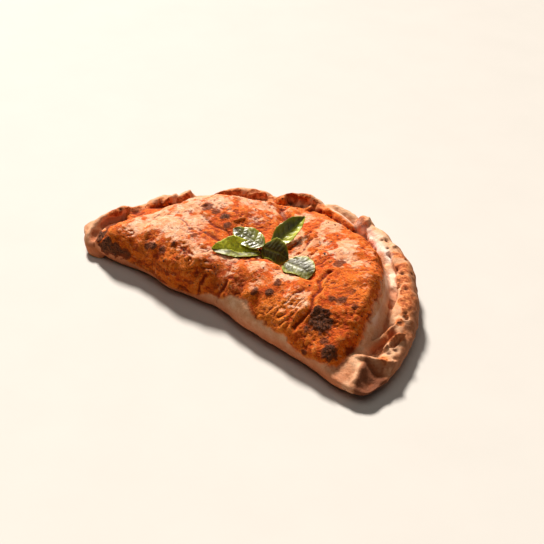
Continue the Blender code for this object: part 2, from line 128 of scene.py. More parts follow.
# The thick roll of the right half: share along the rim, radius and crest height at its turning points,
# and how far its middle lies inside the outline
ROLL_SHARES = (0.548, 0.62, 0.7, 0.8, 0.85, 0.89, 0.930)
ROLL_RADII = (7, 9, 10, 10.5, 9.5, 8, 6.5)
ROLL_CRESTS = (21.5, 23, 23, 22.5, 19, 16, 12.5)
ROLL_INSET = 11.0

# Thin pinched folds on the lumps: place along the rim, length, width, height, turn outward in
# degrees, inward shift, how far the fold bows sideways, how sharp its crest is, its lean outward
FOLDS = (
    (0.142, 26, 9, 21.5, 26, 3, 3, 0.4, 0.2),
    (0.176, 14, 10, 22.5, 40, 1, 2, 0.4, 0),
    (0.255, 40, 9, 21.5, 10, 1, 3, 0.3, 0.2),
    (0.31, 24, 8, 20.5, 16, 2, -2, 0.3, 0.1),
    (0.545, 15, 8, 25, -50, 0, 2, 0.4, 0.1),
    (0.645, 14, 7, 24, -52, 1, 3, 0.5, 0.2),
)

# Strands and thin lips of dough: half width, half depth and the points of the crest
STRANDS = (
    (4.4, 6, (
        (-108, -9, 6), (-117, -11, 9), (-124, -9, 13), (-129, -3, 15.5), (-132, 5, 17),
        (-133, 14, 18), (-132, 24, 19), (-130, 33, 20), (-127, 41, 19))),
    (3.6, 4, (
        (-54, 118, 19), (-53, 127, 22), (-50, 134, 24), (-43, 139, 25), (-36, 142, 25), (-27, 143, 22))),
    (1.5, 2.4, (
        (-51, 122, 17), (-42, 126, 18), (-36, 128, 18.5), (-31, 131, 19), (-31, 138, 20), (-30, 144, 21))),
    (5.6, 6, (
        (-30, 142, 22), (-22, 141, 22), (-12, 140, 22), (-3, 139, 21.5), (6, 137, 21), (13, 136, 20))),
    (2, 4, ((94, 91, 20), (98, 82, 20), (102, 74, 19.5), (106, 67, 19), (109, 62, 18))),
    (2.1, 5, (
        (117, 67, 21), (114, 59, 20), (115, 52, 19), (117, 42, 18), (116, 34, 17), (117, 28, 15.5),
        (120, 22, 13))),
    (1.4, 3, ((127, 55, 20), (124, 49, 20), (123, 44, 19), (124, 39, 18), (124, 33, 16))),
    (2.8, 5, (
        (113, 13, 15), (119, 13.5, 17.5), (124, 16, 18.5), (130, 20, 18), (135, 25, 16), (138, 31, 13))),
    (4, 4.5, ((122, 18, 15.2), (125.5, 11, 15.8), (128, 5, 15.4), (129.5, -1, 13.5), (129, -5, 10))),
)

# Hollows pressed into the rim: centre, half sizes, and the direction they are pressed in
DENTS = (
    ((-47, 132, 20), (8, 5, 6), (-0.45, 0.8, -0.4)),
    ((-38, 135, 20), (6, 5, 5), (-0.45, 0.8, -0.4)),
    ((5, 136, 16), (4, 3, 3), (0.2, 0.8, -0.6)),
    ((44, 137, 17), (7, 3, 4), (0.4, 0.7, -0.6)),
    ((115, 69, 19), (2.4, 2.4, 2.4), (0.3, 0.3, -0.9)),
    ((119, 47, 17), (3, 8, 4), (0.3, 0, -0.95)),
    ((125, 43, 16), (3, 7, 4), (0.5, 0, -0.85)),
    ((120, 31, 15), (3, 6, 5), (0.2, 0.2, -0.95)),
)

# Width of the crust's mesh cells, and how often it is smoothed
VOXEL = 1.08
SETTLE_ROUNDS = 2


# ---------------- small mathematics

def smooth(value):
    """0 below 0, 1 above 1, with an even S between."""
    held = np.clip(value, 0.0, 1.0)
    return held * held * (3.0 - 2.0 * held)


def bell(distance, width):
    """1 in the middle, falling off over the width."""
    return np.exp(-(distance / width) ** 2)


def noise_at(points, size, seed=0.0, octaves=1):
    """Smooth noise between about -1 and 1 at each point, with lumps of the given size in mm."""
    shift = Vector((seed * 13.7, seed * 7.3, seed * 3.1))
    places = points / size
    if octaves == 1:
        return np.array([noise.noise(Vector(place) + shift) for place in places])
    return np.array([noise.fractal(Vector(place) + shift, 0.9, 2.0, octaves) for place in places])


def ridges_at(points, size, seed=0.0):
    """Noise made of thin raised lines, 0 to 1."""
    return 1.0 - np.minimum(np.abs(noise_at(points, size, seed)) * 3.0, 1.0)


def crinkles_at(points, size, seed=0.0, octaves=3):
    """Crisp wrinkled relief, about -1 to 1: thin valleys between rounded bumps."""
    total = np.zeros(len(points))
    share = 1.0
    for octave in range(octaves):
        total += share * (np.abs(noise_at(points, size, seed + octave)) * 3.0 - 0.6)
        size = size / 1.9
        share = share * 0.6
    return np.clip(total, -1.5, 1.5)


def distance_to_path(points, path):
    """Shortest distance from each point to a line of straight pieces."""
    path = np.array(path, dtype=float)
    best = np.full(len(points), 1e9)
    for start, end in zip(path[:-1], path[1:]):
        run = end - start
        share = np.clip((points - start) @ run / (run @ run), 0.0, 1.0)
        gap = points - (start + share[:, None] * run)
        best = np.minimum(best, np.sqrt((gap * gap).sum(axis=1)))
    return best


def curve_through(points, count):
    """Evenly spaced points on a smooth curve through the given ones."""
    knots = np.array(points, dtype=float)
    place = np.linspace(0.0, len(knots) - 1.0, count)
    index = np.minimum(place.astype(int), len(knots) - 2)
    part = (place - index)[:, None]
    before = knots[np.maximum(index - 1, 0)]
    start = knots[index]
    end = knots[index + 1]
    after = knots[np.minimum(index + 2, len(knots) - 1)]
    slope_in = (end - before) / 2.0
    slope_out = (after - start) / 2.0
    square = part * part
    cube = square * part
    return (
        start * (2 * cube - 3 * square + 1)
        + slope_in * (cube - 2 * square + part)
        + end * (3 * square - 2 * cube)
        + slope_out * (cube - square)
    )


def direction(degrees):
    """The way in plan at an angle from X."""
    angle = math.radians(degrees)
    return np.array([math.cos(angle), math.sin(angle)])


def left_of(ahead):
    """The way to the left of another one, or of each in a list."""
    return np.stack([-ahead[..., 1], ahead[..., 0]], axis=-1)


def faded(count, power):
    """Steps from -1 to 1, and a fullness at each that fades out at both ends."""
    t = np.linspace(-1.0, 1.0, count)
    return t, np.sqrt(np.maximum(1.0 - np.abs(t) ** power, 0.0))


# ---------------- the crust's form

def front_line(x):
    """Y of the fold's edge."""
    line = FRONT_Y
    for reach, middle, width in FRONT_SWELLS:
        line = line + reach * bell(x - middle, width)
    return line


def rim_level(x, y):
    """0 at the fold's middle, 1 on the round outline."""
    side = np.clip(x / 40.0 * 0.5 + 0.5, 0.0, 1.0)
    reach = LEFT_REACH + (RIGHT_REACH - LEFT_REACH) * side
    full = LEFT_FULLNESS + (RIGHT_FULLNESS - LEFT_FULLNESS) * side
    across = np.maximum(y, 0.0) / RIM_DEPTH
    return ((np.abs(x) / reach) ** full + across ** full) ** (1.0 / full)


def outline_level(x, y):
    """Below 0 inside the plan outline, with its two corners rounded."""
    rim = rim_level(x, y) - 1.0
    fold = (front_line(x) - y) / 90.0
    blend = CORNER_BLEND - 0.05 * smooth(x / 60.0)
    soft = np.maximum(blend - np.abs(rim - fold), 0.0) ** 2 / (4 * blend)
    return np.maximum(rim, fold) + soft


def distance_to_rim(x, y):
    """Roughly how far a point lies inside the round outline, in mm."""
    step = 0.5
    level = rim_level(x, y)
    slope_x = (rim_level(x + step, y) - rim_level(x - step, y)) / (2 * step)
    slope_y = (rim_level(x, y + step) - rim_level(x, y - step)) / (2 * step)
    return (1.0 - level) / np.maximum(np.hypot(slope_x, slope_y), 1e-4)


def swell_height(x, y, swell):
    """Height that one dome or hollow adds."""
    centre_x, centre_y, along, across, angle, height, flatness = swell
    turn = math.radians(angle)
    dx = x - centre_x
    dy = y - centre_y
    run = (dx * math.cos(turn) + dy * math.sin(turn)) / along
    rise = (-dx * math.sin(turn) + dy * math.cos(turn)) / across
    return height * np.exp(-(np.abs(run) ** flatness + np.abs(rise) ** flatness))


def top_height(x, y):
    """Height of the upper surface above the floor."""
    from_fold = np.maximum(y - front_line(x), 0.0)
    gentle = smooth((x - 5.0) / 45.0)
    drop = np.clip(1.0 - from_fold / (FRONT_ROUND + RIGHT_ROUNDER * gentle), 0.0, 1.0)
    ridge = (1.0 - drop ** (2.6 - 0.9 * gentle)) ** (1 / (2.2 + 0.7 * gentle))
    from_rim = distance_to_rim(x, y)
    shoulder = SHOULDER_WIDTH - RIGHT_NARROWER * smooth((x - 5) / 60)
    climb = smooth((from_rim - RIM_WIDTH) / shoulder) ** 0.8
    valley = VALLEY_HEIGHT + VALLEY_RISE * smooth((30.0 - x) / 40.0)
    taper = smooth((RIGHT_REACH - 6 - x) / 34) * smooth((x + LEFT_REACH - 5) / 34)
    body = valley + (STUFFED_HEIGHT - valley) * climb * (0.35 + 0.65 * taper)
    for swell in SWELLS:
        body = body + swell_height(x, y, swell) * climb
    roll = np.sqrt(np.maximum(1.0 - (2 * np.clip(from_rim / RIM_WIDTH, 0, 1) - 1) ** 2, 0.0))
    rim = WAIST_HEIGHT + (RIM_HEIGHT - WAIST_HEIGHT) * roll
    inside = smooth((from_rim - 0.55 * RIM_WIDTH) / (0.45 * RIM_WIDTH))
    height = rim * (1 - inside) + body * inside
    turned = CORNER_RIDGE - CORNER_SLANT * CORNER_TURN
    ridge_x = np.where(y < CORNER_TURN, CORNER_RIDGE - CORNER_SLANT * y, turned + (y - CORNER_TURN))
    beyond = x - ridge_x
    past = np.maximum(beyond, 0.0)
    corner = CORNER_HEIGHT - 0.3 * np.maximum(8.0 - y, 0.0)
    corner = corner - 0.42 * past - 0.018 * past ** 2 - 0.1 * np.minimum(beyond, 0.0)
    last = CORNER_DEPTH + 17.0 * smooth((beyond + 2.0) / 4.0)
    at_corner = smooth((x - CORNER_START) / 12.0) * smooth((last - y) / 9.0)
    height = height + (corner - height) * at_corner
    return WAIST_HEIGHT + (np.maximum(height, WAIST_HEIGHT) - WAIST_HEIGHT) * ridge


def halve(inside, low, high, rounds=26):
    """The largest radius, for each direction, at which inside(radius) still holds."""
    low = np.array(low, dtype=float)
    high = np.array(high, dtype=float)
    for _ in range(rounds):
        middle = (low + high) / 2
        held = inside(middle)
        low = np.where(held, middle, low)
        high = np.where(held, high, middle)
    return low


def rim_points():
    """400 points along the round edge from the left tip to the right corner, and their shares."""
    angle = np.radians(np.linspace(176.0, 3.0, 400))
    cosine = np.cos(angle)
    sine = np.sin(angle)
    radius = halve(lambda r: rim_level(r * cosine, r * sine) < 1.0, angle * 0, angle * 0 + 200.0)
    places = np.stack([radius * cosine, radius * sine], axis=1)
    steps = np.hypot(*np.diff(places, axis=0).T)
    share = np.concatenate([[0.0], np.cumsum(steps)])
    return places, share / share[-1]


RIM_PLACES, RIM_SHARES = rim_points()


def rim_point(share):
    """Point on the rim's outer line, and the direction ahead along it."""
    def place(value):
        return np.array([np.interp(value, RIM_SHARES, RIM_PLACES[:, axis]) for axis in (0, 1)])

    ahead = place(share + 0.004) - place(share - 0.004)
    return place(share), ahead / np.hypot(*ahead)


def laid_on_rim(share, turn, inward):
    """Middle of a lump on the rim, and the way it runs, turned outward from the rim's own."""
    place, ahead = rim_point(share)
    outward = left_of(ahead)
    angle = math.radians(turn)
    along = ahead * math.cos(angle) + outward * math.sin(angle)
    return place - outward * (RIM_WIDTH / 2 + inward), along


# ---------------- mesh making

def mesh_from_rings(rings, closed=True):
    """Points and faces of a skin over rings of points, or over rows that aren't closed."""
    rows, columns = rings.shape[:2]
    faces = []
    for row in range(rows - 1):
        for column in range(columns if closed else columns - 1):
            after = (column + 1) % columns
            here = row * columns
            above = here + columns
            faces.append((here + column, here + after, above + after, above + column))
    return rings.reshape(-1, 3), faces


def globe(rows, columns):
    """Grids of the angle down from a pole and of the angle round it."""
    down = np.linspace(0.0, PI, rows)
    around = np.linspace(0.0, 2 * PI, columns, endpoint=False)
    return np.meshgrid(down, around, indexing="ij")


def body_rings():
    """The stuffed, folded body: a globe of rings pushed out to the outline and up to the top."""
    polar, angle = globe(200, 420)
    up = np.cos(polar)
    spread = np.sin(polar)
    cosine = np.cos(angle)
    sine = np.sin(angle)
    widest = np.full(angle.shape[1], 240.0)
    reach = halve(
        lambda r: outline_level(r * cosine[0], BODY_MIDDLE_Y + r * sine[0]) < 0.0, widest * 0, widest
    )[None, :]
    inset = UNDERCUT * np.clip(-up * 3, 0, 1) ** 1.5
    radius = spread * reach - np.where(up >= 0, 0.0, inset * spread)
    x = radius * cosine
    y = BODY_MIDDLE_Y + radius * sine
    above = np.maximum(top_height(x, y), WAIST_HEIGHT)
    below = WAIST_HEIGHT * (1 - np.clip(-up * 2.6, 0, 1)) - 1.0
    return np.stack([x, y, np.where(up >= 0, above, below)], axis=2)


def tube_rings(path, side_radius, up_radius, pinch=0.0, lean=0.0, columns=20):
    """Rings along a path. The crest may be pinched narrower and may lean to the side."""
    ahead = np.gradient(path, axis=0)
    ahead /= np.linalg.norm(ahead, axis=1, keepdims=True)
    side = np.cross(ahead, (0.0, 0.0, 1.0))
    side /= np.linalg.norm(side, axis=1, keepdims=True)
    up = np.cross(side, ahead)
    turn = np.linspace(0.0, 2 * PI, columns, endpoint=False)
    crest = np.maximum(np.sin(turn), 0.0)
    across = np.cos(turn) * (1.0 - pinch * crest ** 1.5) - lean * crest ** 2
    rings = path[:, None, :] + side[:, None, :] * (side_radius[:, None] * across)[:, :, None]
    return rings + up[:, None, :] * (up_radius[:, None] * np.sin(turn))[:, :, None]


def fold_rings(fold):
    """One fold of the rim: a tongue of dough with a crest, low at its start and fuller at its end."""
    share, length, width, height, turn, inward, bow, pinch, lean = fold
    middle, along = laid_on_rim(share, turn, inward)
    t, full = faded(27, 2.6)
    full = full * (0.9 + 0.12 * t)
    plan = middle + along * (t * length / 2)[:, None]
    plan = plan + left_of(along) * (bow * (t * t - 0.4))[:, None]
    crest = height * (0.7 + 0.3 * (1.0 - ((t - 0.15) / 1.1) ** 2))
    deep = 0.46 * height * full
    path = np.stack([plan[:, 0], plan[:, 1], np.maximum(crest - deep, 4.0)], axis=1)
    return tube_rings(path, width / 2 * full, deep, pinch, lean)


def egg_rings(middle, along, length, width, height, slope=0.0):
    """A lump like an egg on its side, fuller at its far end, its inner side a slope if wanted."""
    aside = left_of(along)
    polar, around = globe(28, 40)
    run = -np.cos(polar)
    ramp = -1.5 * (1.0 - np.clip(np.sin(around), 0, 1)) ** 0.8
    sidelong = np.where(np.cos(around) < 0, slope * ramp + (1 - slope) * np.cos(around), np.cos(around))
    side = np.sin(polar) * sidelong
    up = np.sin(polar) * np.sin(around)
    middle_height = 9 + 2 * run
    full = 0.94 + 0.16 * run
    sideways = side * width / 2 * full * (1 + 0.25 * up)
    x = middle[0] + along[0] * run * length / 2 + aside[0] * sideways
    y = middle[1] + along[1] * run * length / 2 + aside[1] * sideways
    z = np.maximum(middle_height + up * (height - middle_height), 2.0)
    return np.stack([x, y, z], axis=2)


def crimp_rings(crimp):
    """One lump of the rim. On the left and at the back it slopes gently inward."""
    share, length, width, height, turn, inward = crimp
    middle, along = laid_on_rim(share, turn, inward)
    slope = float(smooth((0.52 - share) / 0.06))
    return egg_rings(middle, along, length, width, height, slope)


def lump_rings(lump):
    """A lump of the filling under the dough."""
    x, y, heading, length, width, height = lump
    return egg_rings(np.array([x, y]), direction(heading), length, width, height)


def roll_rings():
    """The thick roll of dough that runs along the right half of the rim."""
    count = 70
    share = np.linspace(ROLL_SHARES[0], ROLL_SHARES[-1], count)
    place = np.array([rim_point(value)[0] for value in share])
    ahead = np.array([rim_point(value)[1] for value in share])
    full = faded(count, 8)[1] * (1.0 + 0.04 * np.sin(share * 90.0))
    radius = np.interp(share, ROLL_SHARES, ROLL_RADII) * full
    crest = np.interp(share, ROLL_SHARES, ROLL_CRESTS)
    deep = np.minimum(radius, crest / 2 - 0.5)
    plan = place - left_of(ahead) * (ROLL_INSET + 0.8 * np.sin(share * 52.0))[:, None]
    path = np.stack([plan[:, 0], plan[:, 1], crest - deep], axis=1)
    return tube_rings(path, radius, deep, columns=36)


def strand_rings(strand):
    """A round strand of dough along its points, fading out at both ends."""
    half_width, half_depth, points = strand
    path = curve_through(points, 40)
    full = faded(40, 5)[1]
    path[:, 2] -= half_depth
    return tube_rings(path, full * half_width, full * half_depth)


def make_object(name, data):
    """A mesh, lamp or camera put in the scene."""
    made = bpy.data.objects.new(name, data)
    bpy.context.scene.collection.objects.link(made)
    return made


def make_piece(name, parts, placed=lambda points: points):
    """One mesh object from several lists of points and faces, put where the last function says."""
    points = []
    faces = []
    count = 0
    for part_points, part_faces in parts:
        points.append(part_points)
        faces.extend([tuple(index + count for index in face) for face in part_faces])
        count += len(part_points)
    mesh = bpy.data.meshes.new(name)
    mesh.from_pydata([tuple(point) for point in placed(np.concatenate(points))], [], faces)
    mesh.validate()
    mesh.update()
    return make_object(name, mesh)


def applied(obj):
    """The object's mesh with its modifiers applied, and no modifiers left on it."""
    graph = bpy.context.evaluated_depsgraph_get()
    done = bpy.data.meshes.new_from_object(obj.evaluated_get(graph))
    obj.modifiers.clear()
    old = obj.data
    obj.data = done
    bpy.data.meshes.remove(old)
    return done


def read(mesh, name):
    """The mesh's points, or its normals if that is the name given."""
    values = np.empty(len(mesh.vertices) * 3)
    if name == "normal":
        mesh.vertex_normals.foreach_get("vector", values)
    else:
        mesh.attributes["position"].data.foreach_get("vector", values)
    return values.reshape(-1, 3)


def write(mesh, points):
    """Moves the mesh's points."""
    mesh.attributes["position"].data.foreach_set("vector", points.ravel())
    mesh.update()


def edge_list(mesh):
    """The two ends of each edge, as numbers of points."""
    values = np.empty(len(mesh.edges) * 2, dtype=np.int32)
    mesh.edges.foreach_get("vertices", values)
    return values.reshape(-1, 2)


def blurred(values, edges, rounds):
    """Values averaged with their neighbours over the mesh's edges."""
    count = len(values)
    first = edges[:, 0]
    second = edges[:, 1]
    links = np.bincount(first, minlength=count) + np.bincount(second, minlength=count)
    links = np.maximum(links, 1)
    flat = values.reshape(count, -1).astype(float)
    for _ in range(rounds):
        total = np.empty_like(flat)
        for column in range(flat.shape[1]):
            total[:, column] = np.bincount(first, flat[second, column], count)
            total[:, column] += np.bincount(second, flat[first, column], count)
        flat = 0.5 * flat + 0.5 * total / links[:, None]
    return flat.reshape(values.shape)


def set_masks(mesh, masks):
    """Numbers for each point of the mesh, which its material reads by name."""
    for name, values in masks.items():
        layer = mesh.attributes.new(name, "FLOAT", "POINT")
        layer.data.foreach_set("value", np.asarray(values, dtype=np.float32))


# ---------------- the crust's fine form

# Creases: depth, half width, height of the lips beside it, and its points in plan
CREASES = (
    (3.6, 3.6, 0.9, ((-32, 106), (-20.7, 94.4), (-10.9, 84.1), (-2.6, 75.3), (3, 62))),
    (2.6, 3.2, 0.6, ((5, 46), (11.6, 44.2), (27.9, 43.2), (42.3, 41.8), (53, 38))),
    (4.5, 3, 0, ((-119, -9), (-124, -2), (-126, 7), (-125, 17), (-124, 25))),
    (3.2, 1.7, 0, ((58, 120), (65, 115), (74, 106), (85, 94), (94, 82), (98, 74))),
    (1.5, 1.5, 0.5, ((62.9, 51.2), (62, 39.7), (69.7, 32.4), (75.7, 14.7), (74.7, 5.9), (75, 1))),
    (0.4, 0.8, 0.2, ((66, 46), (70, 35.8), (75, 19.5), (76.6, 8.5), (73.8, 1.4))),
    (0.45, 0.8, 0.2, ((70, 38), (71, 24), (70, 10), (64.3, -1.7))),
    (0.45, 0.8, 0.2, ((68.7, 23.6), (66.3, 9.1), (58.6, 0.5))),
    (0.4, 0.8, 0.2, ((62, 24), (59, 12), (52, 1))),
    (1.1, 1.3, 0.4, ((16.9, 81.2), (17.2, 73.7), (18, 64.7), (18.3, 58))),
    (0.8, 1.2, 0.3, ((26, 78), (26, 70), (28, 62), (27, 54))),
    (0.8, 1.1, 0.3, ((36, 66), (38, 58), (42, 50))),
    (0.7, 1.4, 0.2, ((-66, 30), (-50, 26), (-36, 30), (-24, 30))),
    (0.6, 1.2, 0.2, ((-58, 44), (-44, 40), (-30, 44), (-14, 40))),
    (3, 5, 0, ((-22, 130), (-8, 129), (6, 128), (20, 125), (34, 120))),
)

# Creases on the steep front: depth, half width, height of lips, points with their heights
FRONT_CREASES = (
    (1.5, 1.6, 0.5, ((-10, 2, 24), (-11, -3, 17), (-11.5, -5, 8))),
    (0.7, 1.4, 0.3, ((8, 4, 27), (6, -1, 18), (4, -3, 10))),
)

# Lower edge of the tomato on the front: X and height
WASH_EDGE = (
    (-130, 22), (-112, 12), (-98, 11), (-89, 9), (-79, 8.5), (-57, 8.5), (-33, 4), (-20, 6), (-6, 12),
    (11, 17), (24, 22.5), (32, 23.5), (39, 20), (52, 17.5), (71, 16), (84, 12), (95, 12), (112, 14),
)

# Char: X, Y, height (0 where it lies on top), radius, strength
CHAR_SPOTS = (
    (87.6, 9.9, 31, 9, 1), (105.4, 0.4, 19, 5.6, 0.9), (98, 3, 24, 3, 0.6),
    (-111, -5.5, 15, 7.5, 0.9), (-102, -7.5, 13, 7, 0.95), (-93, -8, 13, 6, 0.8),
    (-84, -6.5, 13, 4.5, 0.7), (-118, 8, 0, 6, 0.6), (-60.4, 53.2, 0, 5.5, 0.6), (-51, 54, 0, 4, 0.5),
    (-42.3, 52.9, 0, 3.6, 0.9), (-34, 47, 0, 3, 0.7), (61.2, 61.7, 0, 4.2, 0.6),
    (42.5, 11.1, 0, 3.6, 0.9), (42.7, 19.6, 0, 3.2, 0.6), (33.4, 7.2, 0, 2.6, 0.7),
    (88.1, 33.5, 0, 3.4, 0.7), (87.7, 44.1, 0, 2.4, 0.5), (82.3, 30.1, 0, 3, 0.6),
    (3.1, 18.3, 0, 2.2, 0.5), (-61, -0.3, 26, 3.4, 0.8), (-51.5, 0.8, 26, 3.2, 0.7),
    (-46.3, 5.8, 0, 2.6, 0.7), (-66, 0, 24, 3, 0.7), (-40.5, 19.7, 0, 3, 0.5),
    (-6.8, 45.9, 0, 2.6, 0.6), (97.6, 35.1, 0, 2.4, 0.5), (90.4, -4.8, 14, 2.4, 0.5),
    (-78, 30, 0, 3.5, 0.5),
)

# Painted sheen: pale places of the tomato, later kept to faces turned toward the light: X, Y, radius,
# strength
PALE_SHEEN_SPOTS = (
    (32, 75, 8, 0.9), (56, 72, 12, 1), (49, 83, 9, 0.9), (63.5, 15, 10, 0.9), (-84, 12, 16, 1),
    (-68, 20, 17, 1), (-52, 12, 14, 0.9), (-56, 34, 14, 0.8), (-36, 9, 12, 0.9), (-24, 9, 10, 0.9),
    (-12, 9, 10, 0.9), (-72, 44, 16, 0.9), (-60, 62, 14, 0.8), (-30, 92, 16, 0.7), (-2, 96, 11, 0.7),
    (24, 96, 10, 0.8), (68, 92, 8, 0.7), (14, 68, 11, 0.9), (-26, 70, 8, 0.6), (4, 44, 10, 0.8),
    (40, 27, 10, 0.8), (20, 24, 10, 0.8), (92, 58, 8, 0.5), (30, 58, 11, 0.8), (70, 70, 10, 0.6),
    (-90, 30, 12, 0.9), (-80, 58, 14, 0.8), (-50, 84, 12, 0.7), (4, 12, 10, 0.8), (30, 14, 8, 0.7),
)

# Painted light and shade on the tomato: lighter and darker places on the front and on the right dome: X, Y,
# height, radius, strength
LIT_AND_SHADED_TONES = (
    (52, 2, 24, 14, 1), (66, -4, 20, 9, 0.8), (66, 12, 32, 8, 0.9), (-30, 0, 26, 7, 0.6),
    (-70, 0, 20, 8, 0.6), (-98, 0, 20, 6, 0.5), (30, 4, 27, 6, 0.6), (2, 5, 24, 10, -0.6),
    (18, 5, 27, 10, -0.8), (88, 2, 24, 8, 0.5), (75, 59, 35, 13, 0.6), (76, 69, 35, 9, 0.5),
    (92, 47, 35, 12, 0.5), (71, 38, 36, 8, 0.6),
)

# Toasted orange places of the rim: X, Y, height, radius, strength
TOASTED = (
    (107, 82, 22, 7, 1), (102, 88, 22, 6, 0.9), (95, 95, 22, 5, 0.8), (10, 140, 21, 9, 1),
    (16, 140, 20, 6, 0.8), (-25, 139, 20, 7, 1), (-50, 133, 22, 9, 1), (-40, 140, 22, 6, 0.7),
    (-119, 34, 18, 10, 1), (-115, 45, 19, 10, 1), (-111, 57, 20, 9, 1), (-120, 24, 17, 7, 0.8),
    (-129, 22, 18, 6, 0.9), (-124, 16, 13, 5, 1), (-106, 73, 20, 9, 1), (-95, 92, 18, 10, 0.9),
    (-86, 106, 18, 10, 0.9), (-74, 118, 18, 10, 0.9), (-62, 128, 18, 9, 0.9), (121, 50, 18, 6, 0.9),
    (118, 44, 17, 5, 0.9), (131, 24, 16, 5, 0.8), (118, 34, 12, 6, 0.7), (26, 140, 20, 4, 0.5),
    (116, 62, 20, 4, 0.9), (88, 101, 22, 6, 0.8), (78, 112, 22, 7, 0.8), (66, 124, 22, 6, 0.7),
    (113, 74, 21, 5, 0.7), (126, 60, 18, 7, 0.5), (122, 72, 18, 7, 0.5), (-4, 142, 15, 5, 0.7),
)

# Flour and painted light: strength, half width and points in plan. First the flour streak left in the
# valley, then a painted highlight on the top of the roll at the back and on the rest of that roll, and
# painted light on the bare slope inside the right rim, which lies in the dome's shade
FLOUR_AND_LIGHT = (
    (1, 2.3, ((20, 140), (32, 133), (39, 129), (47, 125), (54, 122), (61, 118))),
    (0.35, 4, ((-12, 139), (-6, 138), (4, 140), (14, 140))),
    (0.45, 3, ((22, 140), (31, 137), (39, 135))),
    (0.45, 4, ((72, 106), (84, 86), (95, 63), (105, 43))),
)

# Deep pockets where the rim folds over the valley: X, Y, radius, depth
POCKETS = ((46, 136, 3, 3), (74, 109, 3.2, 3.5), (88.5, 92, 3, 3.5), (112, 57, 2.6, 3))

# Broken bubbles of the rim: X, Y, height, radius
BUBBLES = (
    (96.5, 92, 24, 1.8), (83.1, 106.5, 24, 1.7), (119.3, 61.2, 24, 1.9), (131.5, 39.9, 22, 2.2),
    (129.5, 33.2, 21, 2.2), (42.3, 132.1, 22, 1.4), (53, 125.8, 22, 1.5),
)

BLISTERS = 150
SMALL_PITS = 22

# How far inside the rim the tomato starts, how much more at the right end and how much less at the
# left, and the least painted sheen it has anywhere
WASH_INSET = 17.5
WASH_INSET_RIGHT = 11.0
WASH_INSET_LEFT = 3.5
LEAST_PALE_SHEEN = 0.08


def crust_mesh():
    """Body, folds and strands made one skin of even fineness."""
    rings = [body_rings()]
    for shape, rows in ((crimp_rings, CRIMPS), (lump_rings, LUMPS), (fold_rings, FOLDS)):
        rings += [shape(row) for row in rows]
    rings.append(roll_rings())
    rings += [strand_rings(strand) for strand in STRANDS]
    made = make_piece("baked_crust", [mesh_from_rings(ring) for ring in rings])
    remesh = made.modifiers.new("even", "REMESH")
    remesh.mode = "VOXEL"
    remesh.voxel_size = VOXEL
    remesh.use_smooth_shade = True
    settle = made.modifiers.new("settle", "SMOOTH")
    settle.factor = 0.5
    settle.iterations = SETTLE_ROUNDS
    applied(made)
    return made


def anchors(points, normals, spots):
    """For each spot, the surface point nearest to it, looking from above where no height is given."""
    found = []
    for x, y, height in spots:
        gap = (points[:, 0] - x) ** 2 + (points[:, 1] - y) ** 2
        if height > 0:
            gap = gap + (points[:, 2] - height) ** 2
        else:
            gap = gap + np.where(normals[:, 2] > 0.2, 0.0, 1e6)
        found.append(points[int(np.argmin(gap))])
    return np.array(found)


def wash_mask(points, normals):
    """1 where the tomato wash covers the dough, with an uneven edge."""
    x, y, z = points.T
    ragged = 2.6 * noise_at(points, 15.0, 1.0) + 1.6 * noise_at(points, 5.0, 2.0)
    ragged = ragged + 0.8 * noise_at(points, 2.2, 3.0)
    from_rim = distance_to_rim(x, y)
    needed = WASH_INSET + WASH_INSET_RIGHT * smooth((x - 15.0) / 90.0)
    needed = needed - WASH_INSET_LEFT * smooth((-95.0 - x) / 30.0)
    inside = smooth((from_rim + ragged - needed) / 3.0 + 0.5)
    lower = np.interp(x, *np.array(WASH_EDGE, dtype=float).T)
    level = z + np.maximum(y - 4.0, 0.0) * 1.6
    above = smooth((level + ragged - lower) / 2.6 + 0.5)
    return inside * above * (normals[:, 2] > -0.4)


def dented(points, dent):
    """Presses the points inside an egg-shaped space out through its far side."""
    centre, half, press = dent
    place = (points - np.array(centre)) / np.array(half)
    way = np.array(press) / np.array(half)
    depth = np.linalg.norm(place, axis=1)
    inner = (place * way).sum(axis=1)
    length = way @ way
    reach = (-inner + np.sqrt(np.maximum(inner ** 2 - length * (depth ** 2 - 1.0), 0.0))) / length
    share = smooth((1.0 - depth) * 3.0)
    return points + (share * reach)[:, None] * np.array(press)


def knob(points, centre, size):
    """1 at a place, falling off all round it over the size."""
    return bell(np.linalg.norm(points - centre, axis=1), size)


def spot(points, centre, radius, ragged, soft, reach=1.4):
    """1 within a spot, 0 beyond its reach, with a soft edge that the noise makes ragged."""
    gap = np.linalg.norm(points - centre, axis=1) / radius + ragged
    return smooth((reach - gap) / soft)


def wrinkles(points, slant, sizes, seed):
    """Wrinkles at a slant, of the given sizes across, along and upward. A minus mirrors them."""
    x, y, z = points.T
    cosine, sine = slant
    turned = [(x * cosine + y * sine) / sizes[0], (y * cosine - x * sine) / sizes[1], z / sizes[2]]
    return crinkles_at(np.stack(turned, axis=1), 1.0, seed, 1)


